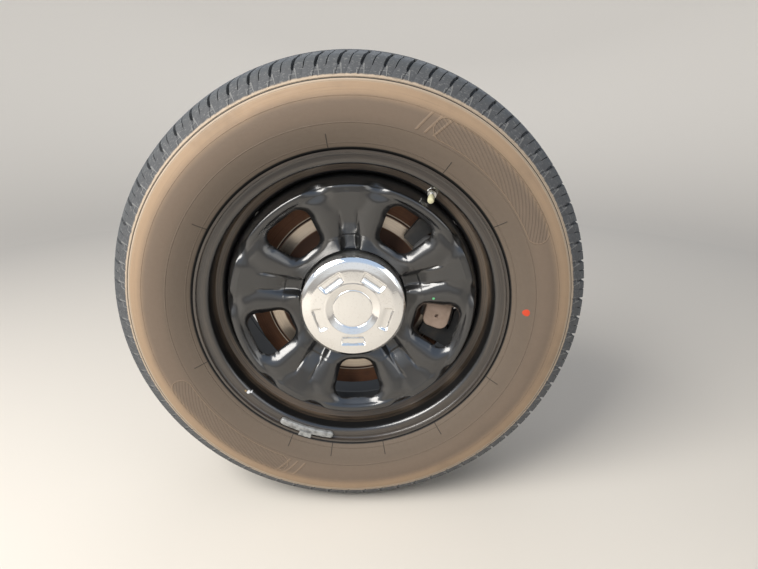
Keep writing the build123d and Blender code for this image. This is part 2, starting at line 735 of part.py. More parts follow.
def wheel_stud():
    """Pressed-in stud on the X axis, its head behind the hub's flange."""
    x = STUD_CIRCLE_R
    tip_y = HUB_FLANGE_Y - STUD_REACH
    shank = rod(x, 0, STUD_R, tip_y, HUB_BACK_Y)
    shank = chamfer(shank.edges().sort_by(Axis.Y)[0], STUD_TIP)
    return shank + rod(x, 0, STUD_HEAD_R, HUB_BACK_Y, HUB_BACK_Y + STUD_HEAD)


def hub():
    """Wheel hub: flange, centring spigot and the spindle that turns in the bearing."""
    body = ring(0, HUB_FLANGE_R, HUB_FLANGE_Y, HUB_BACK_Y)
    body = chamfer(body.edges(), HUB_EASE)
    body += ring(0, SPIGOT_R, HUB_FACE_Y - SPIGOT_REACH, HUB_FLANGE_Y)
    body += ring(0, SPINDLE_R, HUB_BACK_Y, SPINDLE_END_Y)
    back = Plane((0, HUB_BACK_Y, 0), z_dir=(0, 1, 0))
    reach = BEARING_OUT_Y - HUB_BACK_Y - BEARING_CLEAR
    body += Solid.make_cone(SPINDLE_R + HUB_SHOULDER, SPINDLE_R, reach, back)
    body -= ring(0, SPIGOT_BORE_R, HUB_FACE_Y - SPIGOT_REACH, HUB_FACE_Y - SPIGOT_REACH + SPIGOT_DEPTH)
    body -= ring(0, SPLINE_R, HUB_FACE_Y - SPIGOT_REACH, SPINDLE_END_Y)
    hole = rod(STUD_CIRCLE_R, 0, STUD_R + PRESS_GAP, HUB_FLANGE_Y, HUB_BACK_Y)
    for copy in pattern(hole, STUD_COUNT, STUD_ANGLE):
        body -= copy
    return body


def brake_disc():
    """Vented brake disc: hat, two friction plates and the vanes between them."""
    neck_y = ROTOR_FACE_Y + ROTOR_PLATE
    hat = ring(0, HAT_R, HUB_FACE_Y, neck_y)
    hat = fillet(hat.edges().sort_by(Axis.Y)[0], HAT_EASE)
    hat -= ring(0, SPIGOT_R + SEAT_GAP, HUB_FACE_Y, HUB_FLANGE_Y)
    hat -= ring(0, HAT_R - HAT_WALL, HUB_FLANGE_Y, neck_y)
    front = ring(0, ROTOR_R, ROTOR_FACE_Y, neck_y)
    front = chamfer(front.edges().sort_by(Axis.Y)[0], ROTOR_EASE)
    front -= ring(0, HAT_R - HAT_WALL, ROTOR_FACE_Y, neck_y)
    back = ring(0, ROTOR_R, ROTOR_BACK_Y - ROTOR_PLATE, ROTOR_BACK_Y)
    back = chamfer(back.edges().sort_by(Axis.Y)[-1], ROTOR_EASE)
    disc = hat + front + (back - ring(0, ROTOR_IN_R, ROTOR_BACK_Y - ROTOR_PLATE, ROTOR_BACK_Y))
    mid_r = (ROTOR_IN_R + ROTOR_R) / 2
    vane = Pos(mid_r, 0) * Rectangle(ROTOR_R - ROTOR_IN_R - 2 * VANE_INSET, VANE_WIDTH)
    blades = pattern(slab(vane, neck_y, ROTOR_BACK_Y - ROTOR_PLATE), VANE_COUNT, 0.0)
    disc = disc.fuse(*blades)
    hole = rod(STUD_CIRCLE_R, 0, STUD_R + BOLT_GAP, HUB_FACE_Y, HUB_FLANGE_Y)
    for copy in pattern(hole, STUD_COUNT, STUD_ANGLE):
        disc -= copy
    return disc


def bearing_housing():
    """Outer ring of the hub bearing, with the four-lobed flange that bolts to the knuckle."""
    body = ring(0, BEARING_R, BEARING_OUT_Y, BEARING_IN_Y)
    flange_y = KNUCKLE_FACE_Y - BEARING_FLANGE
    plate = Circle(BEARING_R + BEARING_COLLAR)
    spoke = Pos(BEARING_BOLT_CIRCLE_R / 2, 0) * Rectangle(BEARING_BOLT_CIRCLE_R, 2 * BEARING_ARM_HALF)
    for angle in BEARING_BOLT_ANGLES:
        plate += Pos(*polar(BEARING_BOLT_CIRCLE_R, angle)) * Circle(BEARING_LUG_R)
        plate += Rot(0, 0, angle) * spoke
    body += slab(plate, flange_y, KNUCKLE_FACE_Y)
    body -= ring(0, SPINDLE_R + SEAT_GAP, BEARING_OUT_Y, BEARING_IN_Y)
    for angle in BEARING_BOLT_ANGLES:
        x, z = polar(BEARING_BOLT_CIRCLE_R, angle)
        body -= rod(x, z, BEARING_BOLT_R, flange_y, KNUCKLE_FACE_Y)
    return body


def bearing_bolt(angle):
    """Bolt from the knuckle's back through to the bearing's flange."""
    x, z = polar(BEARING_BOLT_CIRCLE_R, angle)
    back_y = KNUCKLE_FACE_Y + KNUCKLE_WEB
    shank = rod(x, z, BEARING_BOLT_R - SEAT_GAP / 2, KNUCKLE_FACE_Y - BEARING_FLANGE, back_y)
    head = extrude(outboard(back_y + BOLT_HEAD) * Pos(x, z) * hexagon(BOLT_FLATS), amount=BOLT_HEAD)
    return shank + head


def tangent_web(start, end):
    """Sketch of a bar with round ends: each end is (x, z, radius)."""
    (x0, z0, r0), (x1, z1, r1) = start, end
    reach = math.hypot(x1 - x0, z1 - z0)
    lean = math.acos((r0 - r1) / reach)
    along = math.atan2(z1 - z0, x1 - x0)
    corners = []
    for (x, z, radius), side in ((start, 1), (end, 1), (end, -1), (start, -1)):
        angle = along + side * lean
        corners.append((x + radius * math.cos(angle), z + radius * math.sin(angle)))
    bar = make_face(Polyline(*corners, close=True))
    return bar + Pos(x0, z0) * Circle(r0) + Pos(x1, z1) * Circle(r1)


def cross_bar(name, radius, extra=0.0):
    """Round bar along an arm's bolt, centred on its bore and longer than its housing by an extra."""
    arm = ARM_BORES[name]
    centre = Plane(origin=(arm["x"], ARM_BORE_Y, arm["z"]), z_dir=arm["along"])
    return extrude(centre * Circle(radius), amount=(arm["width"] + extra) / 2, both=True)


def knuckle():
    """Cast knuckle: bearing ring, ribbed arms to three bores, and the caliper's two lugs."""
    back_y = KNUCKLE_FACE_Y + KNUCKLE_WEB
    end_y = KNUCKLE_FACE_Y + KNUCKLE_THICK
    body = ring(0, SHIELD_IN_R + SHIELD_FOOT, KNUCKLE_FACE_Y, back_y)
    body += ring(0, KNUCKLE_RING_R, KNUCKLE_FACE_Y, end_y)
    for name, arm in ARM_BORES.items():
        tip = (arm["x"], arm["z"], arm["width"] / 2 - ARM_MARGIN)
        body += slab(tangent_web((0, 0, WEB_ROOT_R), tip), KNUCKLE_FACE_Y, back_y)
        rib = tangent_web((0, 0, RIB_ROOT_R), (arm["x"], arm["z"], RIB_TIP_R))
        body += slab(rib, KNUCKLE_FACE_Y, ARM_BORE_Y + arm["radius"] / 2)
        body += chamfer(cross_bar(name, arm["radius"]).edges(), KNUCKLE_EASE)
    for side in (-1, 1):
        x, z = polar(BRACKET_FOOT_R, CALIPER_ANGLE + side * BRACKET_BOLT_ANGLE)
        body += slab(tangent_web((0, 0, WEB_ROOT_R), (x, z, LUG_R)), BRACKET_BACK_Y, back_y)
    body -= ring(0, BEARING_R + SEAT_GAP, KNUCKLE_FACE_Y, ARM_BORE_Y + LOWER_HOUSING_R)
    for name, arm in ARM_BORES.items():
        body -= cross_bar(name, arm["radius"] - BUSH_WALL)
        sleeve_r = arm["bore"] + SLEEVE_WALL
        body -= cross_bar(name, sleeve_r + SLEEVE_CLEAR, 2 * SLEEVE_OVERHANG + SLEEVE_CLEAR)
    for angle in BEARING_BOLT_ANGLES:
        x, z = polar(BEARING_BOLT_CIRCLE_R, angle)
        body -= rod(x, z, BEARING_BOLT_R, KNUCKLE_FACE_Y, back_y)
        body -= rod(x, z, SPOT_FACE_R, back_y, ARM_BORE_Y + LOWER_HOUSING_R)
    for side in (-1, 1):
        x, z = polar(BRACKET_FOOT_R, CALIPER_ANGLE + side * BRACKET_BOLT_ANGLE)
        body -= rod(x, z, BRACKET_BOLT_R, KNUCKLE_FACE_Y, back_y)
    return body


def bush(name):
    """Rubber bush of one arm bore, with the steel sleeve through it."""
    housing_r = ARM_BORES[name]["radius"] - BUSH_WALL
    bore_r = ARM_BORES[name]["bore"]
    sleeve_r = bore_r + SLEEVE_WALL
    rubber = cross_bar(name, housing_r - SEAT_GAP / 2) - cross_bar(name, sleeve_r + SEAT_GAP / 2)
    extra = 2 * SLEEVE_OVERHANG
    return rubber, cross_bar(name, sleeve_r, extra) - cross_bar(name, bore_r, extra)


def brake_pad(face_y, outward):
    """Pad on the X axis: lining against the disc, and its eared back plate."""
    lining = sector(PAD_IN_R, PAD_OUT_R, PAD_HALF, PAD_CORNER)
    slot = Pos((PAD_IN_R + PAD_OUT_R) / 2, 0) * Rectangle(PAD_OUT_R, PAD_SLOT)
    plate = sector(PAD_IN_R - PAD_PLATE_LAP, PAD_OUT_R + PAD_PLATE_LAP, PAD_PLATE_HALF, PAD_CORNER)
    plate += sector(PAD_IN_R + PAD_EAR_RISE, PAD_OUT_R - PAD_EAR_DROP, PAD_EAR_HALF, POST_CORNER)
    middle_y = face_y - outward * PAD_LINING
    end_y = middle_y - outward * PAD_PLATE
    body = slab(lining - slot, min(face_y, middle_y), max(face_y, middle_y))
    return body + slab(plate, min(middle_y, end_y), max(middle_y, end_y))


def caliper():
    """Floating caliper: dimpled finger plate, bridge over the disc, cylinder and pin ears."""
    plate_back_y = CALIPER_FACE_Y + FINGER_THICK
    fingers = sector(FINGER_IN_R, FINGER_OUT_R, FINGER_HALF, FINGER_CORNER)
    plate = slab(fingers, CALIPER_FACE_Y, plate_back_y)
    body = fillet(plate.edges().group_by(Axis.Y)[0], FINGER_EASE)
    root = sector(FINGER_OUT_R - BRIDGE_THICK, CALIPER_OUT_R, BRIDGE_HALF, BRIDGE_CORNER)
    body += slab(root, CALIPER_FACE_Y + FINGER_EASE, plate_back_y)
    top = sector(BRIDGE_IN_R, CALIPER_OUT_R, BRIDGE_HALF, BRIDGE_CORNER)
    body += slab(top, CALIPER_FACE_Y + FINGER_EASE, CALIPER_BACK_Y + BRIDGE_BACK)
    slot_out_r = FINGER_OUT_R - FINGER_SLOT_TOP
    slot = sector(FINGER_IN_R - FINGER_THICK, slot_out_r, FINGER_SLOT_HALF, FINGER_SLOT_HALF)
    body -= slab(slot, CALIPER_FACE_Y, plate_back_y)
    cylinder = rod(PISTON_CENTRE_R, 0, CYLINDER_R, CALIPER_BACK_Y, CALIPER_BACK_Y + CYLINDER_LENGTH)
    body += fillet(cylinder.edges().sort_by(Axis.Y)[-1], CYLINDER_EASE)
    shelf = sector(PISTON_CENTRE_R, CALIPER_OUT_R, SHELF_HALF, BRIDGE_CORNER)
    body += slab(shelf, CALIPER_BACK_Y, CALIPER_BACK_Y + BRIDGE_BACK)
    for side in (-1, 1):
        x, z = polar(PIN_CIRCLE_R, side * BRACKET_POST_ANGLE)
        body += slab(tangent_web((PISTON_CENTRE_R, 0, EAR_ROOT_R), (x, z, EAR_R)), EAR_Y, EAR_Y + EAR_THICK)
        body -= rod(x, z, PIN_R + SEAT_GAP / 2, EAR_Y, EAR_Y + EAR_THICK)
        x, z = polar(DIMPLE_CIRCLE_R, side * DIMPLE_ANGLE)
        body -= rod(x, z, DIMPLE_R, CALIPER_FACE_Y, CALIPER_FACE_Y + DIMPLE_DEPTH)
    end_y = CALIPER_BACK_Y + CYLINDER_LENGTH
    body -= rod(PISTON_CENTRE_R, 0, PISTON_R + SEAT_GAP / 2, CALIPER_BACK_Y, end_y - CYLINDER_END)
    return body - rod(PISTON_CENTRE_R + PORT_OUT, 0, PORT_R, end_y - PORT_DEPTH, end_y)


def caliper_bracket():
    """Bracket that straddles the disc: two posts with outer legs and wings, and the inner beam."""
    low_y = OUTER_PAD_Y - PAD_STACK
    leg_y = low_y + PAD_PLATE + LEG_THICK
    out_r = CALIPER_OUT_R - POST_INSET
    beam_out_r = PISTON_CENTRE_R - CYLINDER_R - BRACKET_GAP
    root_r = beam_out_r - BRACKET_BEAM / 2
    wing_in_r = PAD_OUT_R + PAD_PLATE_LAP + POST_INSET
    post = BRACKET_POST_ANGLE
    beam = sector(beam_out_r - BRACKET_BEAM, beam_out_r, post + POST_CORNER, POST_CORNER)
    body = slab(beam, BRACKET_FRONT_Y, BRACKET_BACK_Y)
    bars = (
        dict(in_r=BRIDGE_IN_R, half=POST_HALF, angle=post, low_y=low_y, high_y=BRACKET_BACK_Y),
        dict(in_r=root_r, half=POST_HALF, angle=post, low_y=BRACKET_FRONT_Y, high_y=BRACKET_BACK_Y),
        dict(in_r=PAD_IN_R + LEG_RISE, half=POST_HALF, angle=post, low_y=low_y, high_y=leg_y),
        dict(in_r=wing_in_r, half=WING_HALF, angle=WING_ANGLE, low_y=low_y, high_y=leg_y),
    )
    for side in (-1, 1):
        for bar in bars:
            form = slab(sector(bar["in_r"], out_r, bar["half"], POST_CORNER), bar["low_y"], bar["high_y"])
            body += turn(form, side * bar["angle"])
        pin_x, pin_z = polar(PIN_CIRCLE_R, side * BRACKET_POST_ANGLE)
        foot_x, foot_z = polar(BRACKET_FOOT_R, side * BRACKET_BOLT_ANGLE)
        body += rod(pin_x, pin_z, BOOT_R + BOSS_WALL, BRACKET_FRONT_Y, BRACKET_BACK_Y)
        body += rod(foot_x, foot_z, BRACKET_BOLT_R + FOOT_WALL, BRACKET_FRONT_Y, BRACKET_BACK_Y)
        body -= rod(pin_x, pin_z, PIN_R + SEAT_GAP / 2, BRACKET_FRONT_Y, BRACKET_BACK_Y)
        body -= rod(foot_x, foot_z, BRACKET_BOLT_R, BRACKET_FRONT_Y, BRACKET_BACK_Y)
    return body


def guide_pin(side):
    """Guide pin from the bracket to the caliper's ear, with its bellows and screw head."""
    x, z = polar(PIN_CIRCLE_R, side * BRACKET_POST_ANGLE)
    head_y = EAR_Y + EAR_THICK
    pin = rod(x, z, PIN_R, BRACKET_FRONT_Y, head_y)
    head = extrude(outboard(head_y + PIN_HEAD) * Pos(x, z) * hexagon(PIN_HEAD_FLATS), amount=PIN_HEAD)
    return pin + head + rod(x, z, BOOT_R, BRACKET_BACK_Y, EAR_Y)


def bracket_bolt(side):
    """Bolt that holds the bracket's foot to the knuckle's lug."""
    x, z = polar(BRACKET_FOOT_R, side * BRACKET_BOLT_ANGLE)
    back_y = KNUCKLE_FACE_Y + KNUCKLE_WEB
    shank = rod(x, z, BRACKET_BOLT_R - SEAT_GAP / 2, BRACKET_FRONT_Y, back_y)
    return shank + extrude(outboard(back_y + BOLT_HEAD) * Pos(x, z) * hexagon(BOLT_FLATS), amount=BOLT_HEAD)


def dust_shield():
    """Pressed shield behind the disc, open at the caliper."""
    high_y = ROTOR_BACK_Y + SHIELD_CLEAR + SHIELD_WALL
    collar_r = SHIELD_IN_R + SHIELD_FOOT
    plate = ring(collar_r - SHIELD_WALL, SHIELD_OUT_R, high_y - SHIELD_WALL, high_y)
    plate += ring(collar_r - SHIELD_WALL, collar_r, high_y - SHIELD_WALL, KNUCKLE_FACE_Y)
    plate += ring(SHIELD_IN_R, collar_r, KNUCKLE_FACE_Y - SHIELD_WALL, KNUCKLE_FACE_Y)
    plate += ring(SHIELD_OUT_R - SHIELD_WALL, SHIELD_OUT_R, high_y - SHIELD_LIP, high_y)
    opening = sector(SHIELD_IN_R / 2, ROTOR_R, SHIELD_OPENING_HALF)
    gap = slab(opening, ROTOR_BACK_Y, KNUCKLE_FACE_Y + SHIELD_CLEAR)
    return plate - turn(gap, CALIPER_ANGLE)


def build():
    """Make every piece about the wheel's centre."""
    valve_stem, valve_cap = valve()
    hole_plane = valve_frame().offset(VALVE_HOLE_REACH)
    hole = extrude(hole_plane * Circle(VALVE_HOLE_R), amount=-RIM_WALL - 2 * VALVE_HOLE_REACH)
    parts["tyre"] = tyre()
    parts["rim"] = rim() - turn(hole, VALVE_ANGLE)
    parts["wheel_disc"] = wheel_disc()
    parts["centre_cap"] = cap_form(0.0) - cap_form(CAP_WALL)
    parts["valve_stem"] = valve_stem
    parts["valve_cap"] = valve_cap
    parts["balance_weight"] = balance_weight()
    for index, nut in enumerate(pattern(lug_nut(), STUD_COUNT, STUD_ANGLE), 1):
        parts[f"lug_nut_{index}"] = nut
    for index, stud in enumerate(pattern(wheel_stud(), STUD_COUNT, STUD_ANGLE), 1):
        parts[f"wheel_stud_{index}"] = stud
    parts["hub"] = hub()
    parts["brake_disc"] = brake_disc()
    parts["bearing_housing"] = bearing_housing()
    for index, angle in enumerate(BEARING_BOLT_ANGLES, 1):
        parts[f"bearing_bolt_{index}"] = bearing_bolt(angle)
    parts["knuckle"] = knuckle()
    for name in ARM_BORES:
        rubber, sleeve = bush(name)
        parts[f"{name}_bush"] = rubber
        parts[f"{name}_sleeve"] = sleeve
    parts["dust_shield"] = dust_shield()
    parts["caliper"] = turn(caliper(), CALIPER_ANGLE)
    parts["caliper_bracket"] = turn(caliper_bracket(), CALIPER_ANGLE)
    parts["brake_pad_outer"] = turn(brake_pad(OUTER_PAD_Y, 1), CALIPER_ANGLE)
    parts["brake_pad_inner"] = turn(brake_pad(INNER_PAD_Y, -1), CALIPER_ANGLE)
    piston_end_y = CALIPER_BACK_Y + CYLINDER_LENGTH - PISTON_SHORT
    piston = rod(PISTON_CENTRE_R, 0, PISTON_R, CALIPER_BACK_Y, piston_end_y)
    parts["caliper_piston"] = turn(piston, CALIPER_ANGLE)
    for side, name in ((1, "upper"), (-1, "lower")):
        parts[f"guide_pin_{name}"] = turn(guide_pin(side), CALIPER_ANGLE)
        parts[f"bracket_bolt_{name}"] = turn(bracket_bolt(side), CALIPER_ANGLE)


def write():
    """Write each piece, moved so that the lower arm's bore is the origin."""
    os.makedirs("parts", exist_ok=True)
    for name, shape in parts.items():
        export_step(Pos(0, -ARM_BORE_Y, LOWER_ARM_DROP) * shape, f"parts/{name}.step")


build()
write()
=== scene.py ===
"""Dressed scene of a road wheel on its hub: tyre, pressed steel wheel, chrome cap and the brake behind it."""

import logging
import math
from dataclasses import dataclass
from enum import Enum
from functools import lru_cache
from typing import Callable, Iterable, Sequence

import bmesh
import bpy
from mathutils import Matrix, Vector


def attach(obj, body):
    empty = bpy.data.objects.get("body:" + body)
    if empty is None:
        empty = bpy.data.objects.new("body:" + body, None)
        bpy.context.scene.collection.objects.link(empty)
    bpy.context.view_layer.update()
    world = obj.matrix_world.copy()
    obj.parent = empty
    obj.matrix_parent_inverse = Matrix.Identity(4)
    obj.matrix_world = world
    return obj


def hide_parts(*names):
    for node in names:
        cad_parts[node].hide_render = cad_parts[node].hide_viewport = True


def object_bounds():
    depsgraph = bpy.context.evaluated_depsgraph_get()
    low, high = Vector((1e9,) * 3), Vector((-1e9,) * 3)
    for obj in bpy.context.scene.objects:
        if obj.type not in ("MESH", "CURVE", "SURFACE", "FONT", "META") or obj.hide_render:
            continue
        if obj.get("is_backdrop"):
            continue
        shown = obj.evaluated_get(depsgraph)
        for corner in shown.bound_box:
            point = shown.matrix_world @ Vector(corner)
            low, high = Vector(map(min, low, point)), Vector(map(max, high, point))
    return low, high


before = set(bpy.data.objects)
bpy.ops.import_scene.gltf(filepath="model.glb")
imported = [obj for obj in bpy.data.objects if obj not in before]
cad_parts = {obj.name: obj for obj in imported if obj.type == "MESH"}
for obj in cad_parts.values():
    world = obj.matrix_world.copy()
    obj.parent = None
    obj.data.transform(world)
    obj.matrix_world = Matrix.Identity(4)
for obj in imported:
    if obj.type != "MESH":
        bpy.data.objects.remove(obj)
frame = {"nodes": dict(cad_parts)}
CAD_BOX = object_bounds()

Floats = tuple[float, ...]
Point = tuple[float, float]
Points = tuple[Point, ...]
Place = tuple[float, float, float]
Colour = tuple[float, float, float]

MM = 0.001
WELD = 2e-6
AXLE = Vector((0.0, -0.034, 0.135))
INWARD = Vector((0.0, 1.0, 0.0))
FLANGE_Y = -0.1126
FLOOR_Z = -0.2465
SPOKES = 5
PITCHES = 72
LOG = logging.getLogger("wheel")


class Slot(Enum):
    """Names of the material slots for the pieces made here."""

    TYRE = "tyre"
    BLACK = "black_paint"
    CHROME = "chrome"
    VALVE = "valve_metal"
    VALVE_CAP = "valve_cap"
    WEIGHT = "weight_metal"


# Small maths


def smooth(low: float, high: float, value: float) -> float:
    """Ease from 0 below low to 1 above high."""
    part = min(max((value - low) / (high - low), 0.0), 1.0)
    return part * part * (3.0 - 2.0 * part)


def plateau(rise: Point, fall: Point, value: float) -> float:
    """Ease up over the rise and down again over the fall."""
    return smooth(*rise, value) * (1.0 - smooth(*fall, value))


def bump(value: float, width: float) -> float:
    """Bell curve of height 1 about zero."""
    return math.exp(-((value / width) ** 2))


def blend(first: float, second: float, share: float) -> float:
    """Mix of two numbers by the second one's share."""
    return first + (second - first) * share


def fold(angle: float, count: int, centre: float) -> float:
    """Angle in degrees from the nearest of several evenly spaced centres."""
    pitch = 360.0 / count
    return (angle - centre + pitch / 2) % pitch - pitch / 2


def turned(radius: float, degrees: float) -> Point:
    """Parts of a radius along and across the direction of no turn."""
    rad = math.radians(degrees)
    return radius * math.cos(rad), radius * math.sin(rad)


def at(radius: float, degrees: float, depth: float) -> Vector:
    """Point of the wheel in metres.

    Args:
        radius: Millimetres from the axle.
        degrees: Angle seen from outside, counter-clockwise from forward.
        depth: Millimetres inward from the rim's outer edge.

    Returns:
        The point in the row's frame.
    """
    x, z = turned(radius, degrees)
    return Vector((x, depth, z)) * MM + AXLE + Vector((0.0, FLANGE_Y, 0.0))


@dataclass(frozen=True)
class Trapezoid:
    """Rounded trapezoid along a radius, in millimetres."""

    in_r: float
    out_r: float
    in_half: float
    out_half: float
    corner: float

    def gap(self, x: float, z: float) -> float:
        """Signed distance from the outline.

        Args:
            x: Millimetres along the trapezoid's axis.
            z: Millimetres across it.

        Returns:
            Millimetres, negative inside.
        """
        lean = math.atan2(self.out_half - self.in_half, self.out_r - self.in_r)
        shift = self.corner / math.cos(lean)
        low, high = self.in_r + self.corner, self.out_r - self.corner
        halves = (self.in_half + (r - self.in_r) * math.tan(lean) - shift for r in (low, high))
        start, end = (Vector(tip) for tip in zip((low, high), halves))
        point, side = Vector((x, abs(z))), end - start
        share = min(max((point - start).dot(side) / side.length_squared, 0.0), 1.0)
        away = [(point - (start + side * share)).length]
        away += [(point - Vector((tip.x, min(point.y, tip.y)))).length for tip in (start, end)]
        beyond = (abs(z) - start.y) * side.x - (x - start.x) * side.y > 0
        inside = low < x < high and not beyond
        return (-min(away) if inside else min(away)) - self.corner


def offset_path(points: Sequence[Point], distance: float) -> list[Point]:
    """Corners of a path moved to its right by a distance."""
    normals: list[Point] = []
    for (x0, y0), (x1, y1) in zip(points, points[1:]):
        length = math.hypot(x1 - x0, y1 - y0)
        normals.append(((y1 - y0) / length, (x0 - x1) / length))
    moved: list[Point] = []
    for index, (x, y) in enumerate(points):
        before = normals[max(index - 1, 0)]
        after = normals[min(index, len(normals) - 1)]
        scale = distance / (1 + before[0] * after[0] + before[1] * after[1])
        moved.append((x + (before[0] + after[0]) * scale, y + (before[1] + after[1]) * scale))
    return moved


def round_path(points: Sequence[Point], radii: Sequence[float], pieces: int = 6) -> list[Point]:
    """Path with each inner corner turned into an arc.

    Args:
        points: Corners of the path.
        radii: One bend radius for each corner between the two ends.
        pieces: Straight pieces in each arc.

    Returns:
        The points of the rounded path.
    """
    most = 0.49
    path: list[Point] = [points[0]]
    for index, radius in enumerate(radii, 1):
        before, corner, after = (Vector(points[index + step]) for step in (-1, 0, 1))
        back, ahead = (before - corner).normalized(), (after - corner).normalized()
        half = back.angle(ahead) / 2
        reach = min(radius / math.tan(half), (before - corner).length * most, (after - corner).length * most)
        start, end = corner + back * reach, corner + ahead * reach
        for step in range(pieces + 1):
            share = step / pieces
            first, second = start.lerp(corner, share), corner.lerp(end, share)
            path.append(tuple(first.lerp(second, share)))
    return path + [points[-1]]


def spread(path: Sequence[Point], gap: float) -> list[Point]:
    """Points along a path no further apart than a gap, its corners kept."""
    out: list[Point] = [path[0]]
    for (x0, y0), (x1, y1) in zip(path, path[1:]):
        count = max(1, math.ceil(math.hypot(x1 - x0, y1 - y0) / gap))
        out += [(blend(x0, x1, k / count), blend(y0, y1, k / count)) for k in range(1, count + 1)]
    return out


def arc(start: Point, middle: Point, end: Point, count: int) -> list[Point]:
    """Points of the circle through three points, the first one left out."""
    (ax, ay), (bx, by), (cx, cy) = start, middle, end
    det = 2 * (ax * (by - cy) + bx * (cy - ay) + cx * (ay - by))
    sums = [x * x + y * y for x, y in (start, middle, end)]
    ox = (sums[0] * (by - cy) + sums[1] * (cy - ay) + sums[2] * (ay - by)) / det
    oy = (sums[0] * (cx - bx) + sums[1] * (ax - cx) + sums[2] * (bx - ax)) / det
    radius = math.hypot(ax - ox, ay - oy)
    first, last = math.atan2(ay - oy, ax - ox), math.atan2(cy - oy, cx - ox)
    sweep = (last - first + math.pi) % (2 * math.pi) - math.pi
    steps = (first + sweep * k / count for k in range(1, count + 1))
    return [(ox + radius * math.cos(turn), oy + radius * math.sin(turn)) for turn in steps]


# Shader writing


def operator(operation: str, swapped: bool = False) -> Callable[["Signal", "Number"], "Signal"]:
    """Method of a signal that adds the Math node of one operator."""

    def join(one: "Signal", other: "Number") -> "Signal":
        """Value of the node."""
        pair = (other, one) if swapped else (one, other)
        return one.paint.maths(operation, *pair)

    return join


class Signal:
    """One shader value, so that maths on it can be written as Python."""

    def __init__(self, paint: "Paint", socket: bpy.types.NodeSocket) -> None:
        """Keep the socket and the paint that it belongs to."""
        self.paint = paint
        self.socket = socket

    __add__ = __radd__ = operator("ADD")
    __mul__ = __rmul__ = operator("MULTIPLY")
    __sub__ = operator("SUBTRACT")
    __rsub__ = operator("SUBTRACT", swapped=True)
    __pow__ = operator("POWER")


Number = Signal | float | int
Tone = Signal | Colour


